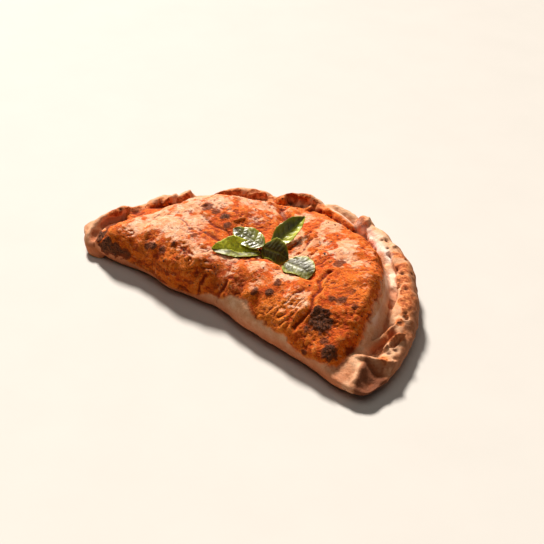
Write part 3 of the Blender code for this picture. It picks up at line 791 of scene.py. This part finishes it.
def shape_crust(made):
    """Works lumps, blisters, creases, wrinkles and pits into the skin, and stores the masks."""
    mesh = made.data
    edges = edge_list(mesh)
    points = read(mesh, "position")
    for dent in DENTS:
        points = dented(points, dent)
    write(mesh, points)
    normals = read(mesh, "normal")
    x, y, z = points.T
    blank = np.zeros(len(points))
    from_rim = distance_to_rim(x, y)
    rng = np.random.default_rng(7)

    wash = wash_mask(points, normals)
    rim = 1.0 - smooth((from_rim - 15.0) / 6.0)
    base = smooth((1.2 - z) / 1.0)

    # Soft lumps of the filling under the dough
    raised = wash * (2.0 * noise_at(points, 26.0, 4.0) + 1.5 * noise_at(points, 11.0, 5.0))
    raised += (1 - base) * 0.5 * noise_at(points, 14.0, 6.0)

    # Creases, which wander a little from their lines
    wander = np.stack([noise_at(points, 9.0, 7.0), noise_at(points, 9.0, 8.0)], axis=1) * 2.2
    plan = points[:, :2] + wander
    solid = points + np.column_stack([wander * 0.7, blank])
    upper = smooth(normals[:, 2] * 2.0 + 0.2) * (z > 8)
    for creases, places, share in ((CREASES, plan, upper), (FRONT_CREASES, solid, 1.0)):
        for depth, width, lip, path in creases:
            gap = distance_to_path(places, path)
            raised += share * (lip * bell(gap - 2.0 * width, width) - depth * bell(gap, width))

    # Fine wrinkles: on the ridge by the right end they run down toward the fold, on the front of
    # the left half they run downhill, over the domes they are short and shallow, and at the right
    # corner they run into the pinch
    front_right = bell(x - 64, 26) * bell(y - 12, 18) * wash
    front_left = bell(x + 58, 30) * smooth((14 - y) / 16) * wash
    domes = wash * smooth((y - 22) / 16)
    corner = bell(x - 112, 14) * bell(y - 2, 12) * (1 - wash) * (z > 5)
    for zone, strength, slant, sizes, seed in (
        (front_right, 0.26, (0.95, 0.32), (1.9, 11.0, 11.0), 9.0),
        (front_left, 0.12, (1.0, 0.0), (2.8, 9.0, 9.0), 10.0),
        (domes, 0.25, (0.6, 0.8), (7.5, 2.6, 7.0), 11.0),
        (corner, 0.3, (0.38, 0.92), (2.0, -14.0, 14.0), 20.0),
    ):
        raised += zone * strength * wrinkles(points, slant, sizes, seed)

    # Rough baked tomato, and blisters
    patch = 0.3 + 0.7 * smooth(noise_at(points, 16.0, 19.0) * 2.0 + 0.5)
    raised += wash * patch * 0.42 * crinkles_at(points, 4.6, 12.0, 3)
    for index in rng.choice(np.flatnonzero(wash > 0.7), BLISTERS, replace=False):
        size = rng.uniform(1.6, 4.6)
        blister = knob(points, points[index], size)
        raised += wash * size * 0.22 * blister * (1.0 if rng.uniform() < 0.8 else -0.8)

    # Dough: gentle unevenness, pulled skin on the rim, small broken bubbles
    dough = (1 - wash) * (1 - base)
    raised += dough * 0.3 * noise_at(points, 7.0, 13.0, 2)
    raised += dough * rim * (0.6 * noise_at(points, 8.0, 14.0) - 0.35 * ridges_at(points, 7.0, 15.0))
    holes = []
    upper_rim = np.flatnonzero((rim > 0.8) & (z > 15) & (normals[:, 2] > 0.0))
    for index in rng.choice(upper_rim, SMALL_PITS, replace=False):
        size = rng.uniform(0.8, 1.6)
        holes.append((points[index], size, rng.uniform(0.8, 2.0)))
    for *place, size in BUBBLES:
        holes.append((anchors(points, normals, [place])[0], size, 1.5))
    # Where the pits are, for painted shade inside them
    pit_shade = blank
    for centre, size, depth in holes:
        hole = knob(points, centre, size)
        raised -= hole * depth
        pit_shade = np.maximum(pit_shade, hole)
    for px, py, size, depth in POCKETS:
        raised -= depth * bell(np.hypot(x - px, y - py), size) * (z > 8)

    # Char: thin scorched bubbles, crusty on top
    char = blank
    ragged = 0.5 * noise_at(points, 4.0, 16.0, 3)
    places = anchors(points, normals, [row[:3] for row in CHAR_SPOTS])
    for centre, (*_, radius, strength) in zip(places, CHAR_SPOTS):
        char = np.maximum(char, strength * spot(points, centre, radius, ragged, 0.6, 1.25))
    raised += char * (0.5 + 0.7 * noise_at(points, 2.6, 17.0, 3))

    points = points + normals * raised[:, None]
    points[:, 2] = np.maximum(points[:, 2], 0.0)
    write(mesh, points)

    # How far each point stands out of or lies below what is round it. The finer measure drives painted
    # highlight on ridges and painted shade in hollows
    normals = read(mesh, "normal")
    relief_light_shade = np.einsum("ij,ij->i", points - blurred(points, edges, 10), normals)
    wide = np.einsum("ij,ij->i", points - blurred(points, edges, 60), normals)

    # Painted sheen: pale places, kept only where they face up and back to the light. Then painted light and
    # shade as lighter and darker places, and toasted places
    blot = noise_at(points, 7.0, 18.0, 3)
    pale = blank + LEAST_PALE_SHEEN
    places = anchors(points, normals, [(px, py, 0) for px, py, _, _ in PALE_SHEEN_SPOTS])
    for centre, (*_, radius, strength) in zip(places, PALE_SHEEN_SPOTS):
        pale = np.maximum(pale, strength * spot(points, centre, radius, 0.7 * blot, 1.1))
    facing = normals @ np.array((-0.45, 0.28, 0.85))
    pale = pale * smooth((facing - 0.4) / 0.4)
    lit_and_shaded_tone = blank
    for *centre, radius, strength in LIT_AND_SHADED_TONES:
        lit_and_shaded_tone = lit_and_shaded_tone + strength * spot(points, centre, radius, 0.5 * blot, 1.1)
    toasted = blank
    for *centre, radius, strength in TOASTED:
        toasted = np.maximum(toasted, strength * spot(points, centre, radius, 0.5 * blot, 0.8))

    # Painted shade on the rim's outer side, which turns from the light: darker toward the right and darkest
    # beyond the pinched corner's ridge
    outward = np.stack([distance_to_rim(x - 1, y) - distance_to_rim(x + 1, y),
                        distance_to_rim(x, y - 1) - distance_to_rim(x, y + 1)], axis=1)
    outward /= np.maximum(np.hypot(outward[:, 0], outward[:, 1]), 1e-6)[:, None]
    leaning = (normals[:, :2] * outward).sum(axis=1)
    outer_shade = smooth((leaning - 0.15) / 0.5) * smooth((24.0 - from_rim) / 8.0)
    outer_shade = outer_shade * (0.35 + 0.65 * smooth((x - 20.0) / 60.0))
    beyond = smooth((x - (CORNER_RIDGE - 1.5) + CORNER_SLANT * y) / 3.0)
    beyond = beyond * smooth((20.0 - y) / 6.0) * (x > 118)

    # Flour in the valley, and painted light: a highlight on the roll at the back, and light on the shaded
    # slope inside the right rim
    flour_and_light = blank
    for strength, width, path in FLOUR_AND_LIGHT:
        gap = distance_to_path(plan, path)
        flour_and_light = np.maximum(flour_and_light, strength * bell(gap, width) * (z < 26))
    # Faces turned to the front, away from the light, where the material paints shade on the streaks
    shaded_front = smooth((-normals[:, 1] - 0.2) / 0.4)
    set_masks(mesh, {
        "lit_and_shaded_tone": np.clip(lit_and_shaded_tone, -1, 1),
        "outer_shade": np.maximum(outer_shade, 1.5 * beyond),
        "toasted": toasted,
        "wash": wash,
        "rim": rim,
        "char": char,
        "pale": pale,
        "flour_and_light": flour_and_light,
        "pit_shade": pit_shade,
        "relief_light_shade": np.clip(relief_light_shade / 0.4, -1, 1),
        "wide": np.clip(wide / 2.5, -1, 1),
        "height": z,
        "shaded_front": 0.75 * shaded_front * smooth((30.0 - x) / 40.0),
    })


# ---------------- materials

def linear(colour):
    """A colour given as on a colour card, 0 to 255, as Blender's linear numbers."""
    values = []
    for part in colour:
        value = part / 255.0
        values.append(value / 12.92 if value <= 0.04045 else ((value + 0.055) / 1.055) ** 2.4)
    return (*values, 1.0)


class Finish:
    """A material and short ways to add nodes to it."""

    def __init__(self, name):
        self.material = bpy.data.materials.new(name)
        self.material.use_nodes = True
        self.tree = self.material.node_tree
        self.tree.nodes.clear()
        self.surface = self.node("BsdfPrincipled")
        self.node("OutputMaterial", Surface=self.surface.outputs[0])
        self.place = self.node("TexCoord").outputs["Object"]

    def put(self, socket, value):
        """Joins a socket to another node's output, or sets it to a plain value."""
        if isinstance(value, bpy.types.NodeSocket):
            self.tree.links.new(value, socket)
        else:
            socket.default_value = value

    def fill(self, node, inputs):
        """Sets or joins a node's inputs by name, with _ for a space."""
        for name, value in inputs.items():
            self.put(node.inputs[name.replace("_", " ")], value)

    def node(self, kind, **inputs):
        made = self.tree.nodes.new("ShaderNode" + kind)
        self.fill(made, inputs)
        return made

    def finished(self, **inputs):
        """The material, with the inputs of its surface filled in."""
        self.fill(self.surface, inputs)
        return self.material

    def mask(self, name):
        reader = self.node("Attribute")
        reader.attribute_name = name
        return reader.outputs["Fac"]

    def noise(self, size, detail=3.0, roughness=0.55, distortion=0.0, place=None):
        """Noise with lumps of about the given size in mm."""
        made = self.node("TexNoise", Vector=place or self.place, Scale=1.0 / (size * MM), Detail=detail,
                         Roughness=roughness, Distortion=distortion)
        return made.outputs["Fac"]

    def stretched(self, along, across, turn):
        """Place coordinates squeezed so that noise runs in streaks at the given turn."""
        made = self.node("Mapping", Vector=self.place, Rotation=(0.0, 0.0, math.radians(turn)),
                         Scale=(1.0 / along, 1.0 / across, 1.0 / across))
        return made.outputs["Vector"]

    def span(self, value, low, high, to_low=0.0, to_high=1.0):
        """Maps low..high to to_low..to_high with an even S, held at the ends."""
        made = self.node("MapRange", Value=value, From_Min=low, From_Max=high, To_Min=to_low, To_Max=to_high)
        made.interpolation_type = "SMOOTHSTEP"
        return made.outputs["Result"]

    def maths(self, operation, *values):
        made = self.node("Math")
        made.operation = operation
        for socket, value in zip(made.inputs, values):
            self.put(socket, value)
        return made.outputs[0]

    def times(self, first, second):
        return self.maths("MULTIPLY", first, second)

    def plus(self, first, factor, second):
        """The first value times the factor, plus the second value."""
        return self.maths("MULTIPLY_ADD", first, factor, second)

    def mix(self, factor, first, second):
        """Goes from the first colour to the second. A plain colour is given as on a colour card."""
        made = self.node("Mix")
        made.data_type = "RGBA"
        self.put(made.inputs["Factor"], factor)
        for index, colour in ((6, first), (7, second)):
            self.put(made.inputs[index], linear(colour) if isinstance(colour, tuple) else colour)
        return made.outputs[2]

    def tint(self, colour, source, low, high, amount, over):
        """Lays another colour over one, up to the amount, as the source goes from low to high."""
        return self.mix(self.span(source, low, high, 0.0, amount), colour, over)

    def bump(self, height, distance):
        """Relief too fine for the mesh, its full height given in mm."""
        return self.node("Bump", Height=height, Distance=distance * MM).outputs["Normal"]


def dress(piece, finish):
    """Gives a piece its finish, and shades its faces smoothly."""
    for polygon in piece.data.polygons:
        polygon.use_smooth = True
    piece.data.materials.clear()
    piece.data.materials.append(finish)


def crust_finish():
    """Baked dough, the tomato wash on it, browning, char, flour and the toasted underside, with painted
    light, sheen and shade.
    """
    f = Finish("baked_crust")
    wash = f.mask("wash")
    rim = f.mask("rim")
    relief_light_shade = f.mask("relief_light_shade")
    height = f.mask("height")
    outer_shade = f.mask("outer_shade")
    lit_and_shaded_tone = f.mask("lit_and_shaded_tone")
    shaded_front = f.mask("shaded_front")
    pale = f.mask("pale")
    fine = f.noise(1.1, 4.0, 0.6)
    small = f.noise(2.6, 4.0, 0.6)
    medium = f.noise(7.0, 4.0, 0.6, 0.4)
    large = f.noise(24.0, 3.0, 0.5, 0.3)

    # Dough
    dough = f.mix(f.span(medium, 0.3, 0.7), (212, 150, 108), (230, 184, 146))
    dough = f.tint(dough, fine, 0.5, 0.75, 0.55, (192, 118, 72))
    toast = f.plus(f.mask("toasted"), 0.7, f.plus(f.mask("wide"), 0.25, medium))
    toast = f.times(f.span(toast, 0.62, 1.05), f.span(rim, 0.2, 1.0, 0.2, 1.0))
    dough = f.mix(f.times(toast, 0.85), dough, (234, 136, 68))
    dough = f.tint(dough, f.plus(small, 0.9, toast), 1.25, 1.6, 1.0, (150, 66, 22))
    low = f.times(f.span(height, 18.0, 6.0), f.span(rim, 0.9, 0.2, 0.25, 0.75))
    dough = f.mix(low, dough, (212, 108, 56))
    # Painted shade on the rim's outer side, deepest beyond the pinched corner's ridge
    dough = f.tint(dough, outer_shade, 0.0, 1.0, 0.8, (156, 92, 56))
    dough = f.tint(dough, outer_shade, 1.0, 1.5, 0.75, (108, 56, 32))
    # Flour in the valley, and painted light on the lit roll at the back and on the shaded slope inside the
    # right rim
    dough = f.mix(f.mask("flour_and_light"), dough, (250, 238, 224))
    # Painted shade in the hollows
    dough = f.tint(dough, relief_light_shade, -0.2, -1.0, 0.6, (150, 72, 30))

    # Tomato wash: brighter and darker places as painted light and shade, streaks on the front with painted
    # shade on faces turned from the light, speckles, pale patches as painted sheen, painted highlight on
    # ridges and painted shade in hollows
    tomato = f.mix(f.span(medium, 0.36, 0.64), (206, 74, 4), (232, 108, 12))
    streak = f.noise(5.0, 3.0, 0.6, 0.5, f.stretched(2.6, 1.0, -38.0))
    dark = f.plus(relief_light_shade, -0.25, f.plus(medium, -0.5, large))
    sheen_blotch = f.plus(fine, 0.7, f.plus(small, 1.6, f.plus(medium, 1.1, pale)))
    peach_sheen = f.mix(f.span(medium, 0.38, 0.6), (252, 204, 168), (250, 168, 118))
    for source, low, high, amount, over in (
        (large, 0.42, 0.62, 0.5, (235, 108, 22)),
        (small, 0.5, 0.66, 0.8, (243, 126, 20)),
        (streak, 0.5, 0.62, shaded_front, (236, 120, 22)),
        (streak, 0.48, 0.36, shaded_front, (128, 38, 4)),
        (lit_and_shaded_tone, 0.0, 1.0, 0.8, (247, 132, 34)),
        (lit_and_shaded_tone, 0.0, -1.0, 0.6, (134, 40, 5)),
        (relief_light_shade, 0.15, 0.9, 0.35, (250, 154, 60)),
        (fine, 0.52, 0.68, 0.8, (160, 42, 3)),
        (dark, 0.28, 0.5, 0.6, (140, 38, 3)),
        (sheen_blotch, 1.82, 2.4, 0.92, peach_sheen),
        (relief_light_shade, -0.15, -0.9, 0.75, (118, 32, 4)),
    ):
        tomato = f.tint(tomato, source, low, high, amount, over)
    colour = f.mix(wash, dough, tomato)

    # Char, and painted shade inside pits
    char = f.plus(f.maths("SUBTRACT", small, 0.5), 1.1, f.mask("char"))
    burnt = f.mix(f.span(fine, 0.35, 0.7), (54, 28, 16), (146, 82, 46))
    colour = f.tint(colour, char, 0.1, 0.5, 1.0, (138, 60, 20))
    colour = f.tint(colour, char, 0.4, 0.9, 1.0, burnt)
    colour = f.mix(f.times(f.mask("pit_shade"), 0.85), colour, (46, 22, 12))

    # Underside: browned where it met the oven floor, with scorched freckles
    base = f.mix(f.span(medium, 0.35, 0.7), (196, 142, 92), (158, 98, 54))
    base = f.tint(base, f.noise(9.0, 4.0, 0.6), 0.6, 0.7, 0.9, (62, 34, 20))
    colour = f.tint(colour, height, 1.4, 0.4, 1.0, base)

    oily = f.times(wash, f.span(f.maths("ADD", pale, large), 0.5, 1.3))
    relief = f.plus(small, 0.8, f.times(fine, 0.6))
    relief = f.times(relief, f.plus(wash, 0.65, 0.35))
    return f.finished(
        Base_Color=colour,
        Roughness=f.span(oily, 0.0, 1.0, 0.8, 0.5),
        Specular_IOR_Level=0.14,
        Subsurface_Weight=0.05,
        Subsurface_Radius=(1.0, 0.45, 0.25),
        Subsurface_Scale=2.0 * MM,
        Normal=f.bump(relief, 2.0),
    )


# ---------------- crust

crust = crust_mesh()
shape_crust(crust)


def fit_crust(made):
    """Puts the finished crust in the CAD solid's box, and returns the move for other pieces."""
    mesh = made.data
    points = read(mesh, "position")
    low = points.min(axis=0)
    high = points.max(axis=0)
    middle = (low + high) / 2
    middle[2] = 0.0
    target_low = np.array(crust_low) / MM
    target_high = np.array(crust_high) / MM
    scale = (target_high - target_low) / (high - low)
    scale[2] = 1.0
    centre = (target_low + target_high) / 2
    centre[2] = 0.0

    def placed(places):
        return ((np.asarray(places) - middle) * scale + centre) * MM

    write(mesh, placed(points))
    return placed


to_frame = fit_crust(crust)
dress(crust, crust_finish())
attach(crust, "root")
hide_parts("crust")

# ---------------- baked flecks

FLECKS = 170


def fleck_parts(centre, normal, size, turn, rng):
    """One dark baked fleck: a small uneven cake, its foot sunk in the crust."""
    side = np.cross(normal, (0.31, 0.72, 0.62))
    side /= np.linalg.norm(side)
    other = np.cross(normal, side)
    around = np.linspace(0.0, 2 * PI, 9, endpoint=False) + turn
    reach = size * rng.uniform(0.6, 1.25, 9)
    flat = np.cos(around)[:, None] * side + rng.uniform(0.4, 0.9) * np.sin(around)[:, None] * other
    rings = [centre[None, :].repeat(9, axis=0) - normal * 0.4]
    for share, level in ((1.0, -0.3), (1.0, 0.08), (0.65, 0.28), (0.0, 0.34)):
        rings.append(centre + flat * (reach * share)[:, None] + normal * level * min(size, 1.0))
    return mesh_from_rings(np.array(rings))


def fleck_piece():
    """Flecks strewn over the tomato wash, made one piece."""
    points = read(crust.data, "position") / MM
    normals = read(crust.data, "normal")
    wash = np.zeros(len(points), dtype=np.float32)
    crust.data.attributes["wash"].data.foreach_get("value", wash)
    rng = np.random.default_rng(23)
    crowd = smooth(noise_at(points, 22.0, 31.0) * 2.5 + 0.3) * wash * (points[:, 2] > 14)
    chosen = rng.choice(len(points), FLECKS, replace=False, p=crowd / crowd.sum())
    parts = []
    for index in chosen:
        size = 0.35 + 0.75 * rng.uniform() ** 2
        parts.append(fleck_parts(points[index], normals[index], size, rng.uniform(0, 2 * PI), rng))
    made = make_piece("baked_flecks", parts, lambda places: places * MM)
    f = Finish("baked_fleck")
    brown = f.mix(f.span(f.noise(3.0), 0.4, 0.6), (44, 20, 10), (96, 38, 14))
    made.data.materials.append(f.finished(Base_Color=brown, Roughness=0.6, Specular_IOR_Level=0.2))
    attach(made, "root")
    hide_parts("crust")


fleck_piece()

# ---------------- basil

graph = bpy.context.evaluated_depsgraph_get()
crust_tree = BVHTree.FromObject(crust, graph)
ABOVE_ALL = 200.0


def crust_top(x, y):
    """Height of the finished crust in mm at a place given in mm, or 0 beside it."""
    start = Vector(to_frame((x, y, ABOVE_ALL)))
    hit = crust_tree.ray_cast(start, Vector((0, 0, -1)))[0]
    return 0.0 if hit is None else hit.z / MM


SPRIG_X = 8.0
SPRIG_Y = 45.0

# Leaves: heading in plan in degrees, length, width, how far the tip lifts, depth of the trough
# across it, how far from the middle it starts, bank to one side in degrees, how much its tip curls
# down, height over the sprig's middle, roughness, and the painted light and shade on each side, the left
# one first: high values paint light glowing through the leaf, low ones the shade of a leaf turned from the
# light
LEAVES = (
    (227, 35, 21, 1, 1, 4, -31, 1, 1, 0.62, 0, 2.2),
    (184, 28, 19, 5, 1, 3, -13, 0, 9, 0.36, -0.1, 0.1),
    (86, 34, 15, 7, 3, 4, 22, 0, 6, 0.46, 0.1, 1.3),
    (6, 23, 14, 2, -0.6, -3.5, 50, 2, 8, 0.82, -0.7, -0.7),
    (357, 26, 23, 0, -0.8, 19.5, 20, 2, 3.5, 0.52, -0.3, 0.1),
)
LEAF_THICKNESS = 0.45
VEIN_PAIRS = 6


def leaf_parts(leaf):
    """Points, faces and masks of one leaf: quilted between its veins and troughed along its rib."""
    heading, length, width, lift, cup, start, bank, curl, lift_all, rough, painted_light_left, painted_light_right = leaf
    rows = 72
    columns = 49
    u = np.linspace(0, 1, rows)[:, None]
    v = np.linspace(-1, 1, columns)[None, :]
    blunt = 0.8 - 0.22 * smooth((width / length - 0.62) / 0.12)
    half = width / 2 * (np.sin(PI * u ** 0.85) ** blunt) * (1.0 + 0.015 * np.sin(u * 60))
    half = np.maximum(half, 0.05)
    ahead = direction(heading)
    aside = left_of(ahead)
    edge = np.abs(v)
    across = v * half * (1.0 - 0.05 * edge ** 2)
    vein_place = u * (VEIN_PAIRS + 1.2) - edge * 1.15 * (1 - 0.4 * u)
    ribs = np.abs(np.sin(PI * vein_place))
    puffs = np.abs(np.sin(PI * (edge * 2.6 + 0.35 * np.sin(vein_place * 4.1) + 0.2)))
    quilt = (ribs * (0.35 + 0.65 * puffs)) ** 0.6 * (1 - edge ** 6) * smooth(edge * 5) * 0.42
    tilt = math.tan(math.radians(bank))
    rise = cup * edge ** 1.5 * np.sin(PI * u) ** 0.5 + across * tilt
    rise = rise + quilt * smooth(u * 6) * smooth((1 - u) * 5)
    rise = rise + 0.5 * np.sin(u * 17 + v * 2) * edge ** 2
    centre_z = lift * u ** 1.3 - curl * smooth((u - 0.6) / 0.4) * 1.2
    x = SPRIG_X + ahead[0] * (start + length * u) + aside[0] * across
    y = SPRIG_Y + ahead[1] * (start + length * u) + aside[1] * across
    base = crust_top(SPRIG_X, SPRIG_Y) + lift_all
    tip = crust_top(SPRIG_X + ahead[0] * (start + length), SPRIG_Y + ahead[1] * (start + length))
    under = np.array([[crust_top(px, py) for px, py in zip(*row)] for row in zip(x, y)])
    run = (start + length * u) / (start + length)
    level = base + (tip + 2.0 - base) * run + 0 * v
    z = level + centre_z + rise
    z = np.maximum(z, under + 1)
    points, faces = mesh_from_rings(np.stack([x, y, z], axis=2), closed=False)
    rib = np.exp(-(across / (0.55 * (1.15 - u))) ** 2)
    side_rib = smooth((0.35 - ribs) / 0.35) * (1 - edge ** 4) * 0.8
    vein = np.maximum(rib, side_rib)
    side = smooth(v * 2.0 + 0.5)
    # Painted light and shade for each side of the leaf
    painted_leaf_light = painted_light_right + (painted_light_left - painted_light_right) * side + 0 * u
    masks = {
        "vein": vein.ravel(),
        "edge": (edge ** 5 * np.ones_like(u)).ravel(),
        "painted_leaf_light": painted_leaf_light.ravel(),
        "rough": np.full(rows * columns, rough),
    }
    return points, faces, masks


def basil_piece():
    """The sprig's leaves as one object."""
    parts = []
    masks = {"vein": [], "edge": [], "painted_leaf_light": [], "rough": []}
    for leaf in LEAVES:
        points, faces, leaf_masks = leaf_parts(leaf)
        parts.append((points, faces))
        for name, values in leaf_masks.items():
            masks[name].append(values)
    made = make_piece("basil_leaves", parts, to_frame)
    set_masks(made.data, {name: np.concatenate(values) for name, values in masks.items()})
    thick = made.modifiers.new("thick", "SOLIDIFY")
    thick.thickness = LEAF_THICKNESS * MM
    thick.offset = -1.0
    applied(made)
    return made


def stalk_piece():
    """Short leaf stalks that meet in a small knot at the sprig's middle, and the stem below it."""
    ground = crust_top(SPRIG_X, SPRIG_Y)
    knot = np.array([SPRIG_X, SPRIG_Y, ground + 3.2])
    stalks = []
    for leaf in LEAVES:
        heading, start, lift_all = leaf[0], leaf[5], leaf[8]
        ahead = np.append(direction(heading), 0)
        reach = start + 4.0
        far = knot + ahead * reach
        far[2] = max(crust_top(far[0], far[1]) + 1.4, knot[2] + (lift_all - 3) * 0.4)
        stalks.append((0.85, (knot, knot + ahead * reach * 0.5 + (0, 0, 0.4), far)))
    bottom = np.array([SPRIG_X, SPRIG_Y, ground - 0.6])
    stem = (bottom + (3.5, -4, 0.8), bottom + (1.5, -1.5, 2.2), bottom + (0, 0, 4.6))
    stalks.append((1.15, stem))
    parts = []
    for thick, path in stalks:
        radius = thick * faded(14, 6)[1]
        parts.append(mesh_from_rings(tube_rings(curve_through(path, 14), radius, radius, columns=12)))
    return make_piece("basil_stalks", parts, to_frame)


def leaf_finish():
    """Glossy basil leaf: paler veins, a brighter edge painted as light glowing through it, and painted light
    and shade on each side of the rib.
    """
    f = Finish("basil_leaf_top")
    small = f.noise(1.4, 3.0)
    medium = f.noise(6.0, 3.0, 0.5, 0.3)
    # Painted light and shade on each side of the rib: bright where light glows through, dark where the leaf
    # turns from the light
    painted_leaf_light = f.plus(f.maths("SUBTRACT", medium, 0.5), 1.2, f.mask("painted_leaf_light"))
    green = f.mix(f.span(painted_leaf_light, -0.3, 1.0), (58, 50, 4), (170, 174, 6))
    green = f.tint(green, painted_leaf_light, 1.0, 1.7, 1.0, (226, 228, 12))
    green = f.tint(green, small, 0.4, 0.7, 0.5, (98, 98, 6))
    green = f.mix(f.times(f.mask("vein"), 0.45), green, (150, 152, 40))
    # Painted light: the brighter edge, where light glows through the leaf
    green = f.mix(f.times(f.mask("edge"), 0.7), green, (184, 188, 16))
    return f.finished(
        Base_Color=green,
        Roughness=f.plus(f.maths("SUBTRACT", small, 0.5), 0.16, f.mask("rough")),
        Specular_IOR_Level=0.4,
        Coat_Weight=0.1,
        Coat_Roughness=0.3,
        Subsurface_Weight=0.15,
        Subsurface_Radius=(0.5, 1.0, 0.1),
        Subsurface_Scale=1.0 * MM,
        Normal=f.bump(f.noise(0.8, 2.0), 0.12),
    )


def stalk_finish():
    """Dark reddish-green stalk."""
    f = Finish("basil_stalk_skin")
    streak = f.noise(1.2, 3.0)
    return f.finished(
        Base_Color=f.mix(f.span(streak, 0.35, 0.65), (70, 84, 22), (98, 52, 26)),
        Roughness=f.span(streak, 0.3, 0.7, 0.3, 0.45),
        Normal=f.bump(streak, 0.15),
    )


basil = basil_piece()
stalks = stalk_piece()
for piece, finish in ((basil, leaf_finish()), (stalks, stalk_finish())):
    dress(piece, finish)
    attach(piece, "root")
    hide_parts("basil_sprig")

# ---------------- floor, light and camera

# In metres, with the camera's lens in mm and its roll in degrees
FLOOR_HALF = 3.0
FLOOR_GAP = 0.0004
CAMERA_LENS = 79.723
CAMERA_PLACE = (0.50265, -0.54608, 0.47106)
CAMERA_TARGET = (-0.00709, -0.00396, 0.0)
CAMERA_ROLL = 1.1611


def floor_finish():
    """Plain pale floor."""
    f = Finish("pale_floor")
    pale = f.mix(f.noise(60.0, 3.0), (202, 198, 193), (208, 204, 199))
    return f.finished(Base_Color=pale, Roughness=0.7, Specular_IOR_Level=0.2)


corners = FLOOR_HALF * np.array(((-1, -1, 0), (1, -1, 0), (1, 1, 0), (-1, 1, 0)))
floor = make_piece("floor", [(corners, [(0, 1, 2, 3)])])
floor.location.z = -FLOOR_GAP
floor.data.materials.append(floor_finish())

world = bpy.data.worlds.new("studio")
world.use_nodes = True
background = world.node_tree.nodes["Background"]
background.inputs["Color"].default_value = (1.0, 0.90, 0.80, 1.0)
background.inputs["Strength"].default_value = 0.05
bpy.context.scene.world = world


def aimed(position, target, roll=0.0):
    """A placement at the position that looks at the target, turned about its line of sight."""
    forward = (Vector(target) - Vector(position)).normalized()
    level = forward.cross(Vector((0, 0, 1))).normalized()
    upright = level.cross(forward)
    right = level * math.cos(roll) + upright * math.sin(roll)
    top = right.cross(forward)
    turned = Matrix((right, top, -forward)).transposed().to_4x4()
    return Matrix.Translation(Vector(position)) @ turned


def lamp(name, kind, azimuth, elevation, distance, target, power, colour):
    """A light at the distance from the object's middle, aimed at the target."""
    made = bpy.data.lights.new(name, kind)
    made.energy = power
    made.color = colour
    a = math.radians(azimuth)
    e = math.radians(elevation)
    place = Vector((math.sin(a) * math.cos(e), -math.cos(a) * math.cos(e), math.sin(e))) * distance
    make_object(name, made).matrix_world = aimed(place, target)
    return made


# A soft sun from the back left, and a square soft light overhead
key = lamp("key", "SUN", azimuth=238, elevation=38, distance=1.0, target=(0, 0, 0), power=7.0,
           colour=(1.0, 0.94, 0.86))
key.angle = math.radians(10.0)
overhead = lamp("overhead", "AREA", azimuth=43, elevation=75, distance=1.5, target=(0, 0, 0.02), power=4.0,
                colour=(1.0, 0.93, 0.85))
overhead.size = 1.2

camera_data = bpy.data.cameras.new("camera")
camera_data.lens = CAMERA_LENS
camera_data.sensor_width = 36.0
camera = make_object("camera", camera_data)
camera.matrix_world = aimed(CAMERA_PLACE, CAMERA_TARGET, math.radians(CAMERA_ROLL))
bpy.context.scene.camera = camera
bpy.context.scene.view_settings.view_transform = "Standard"
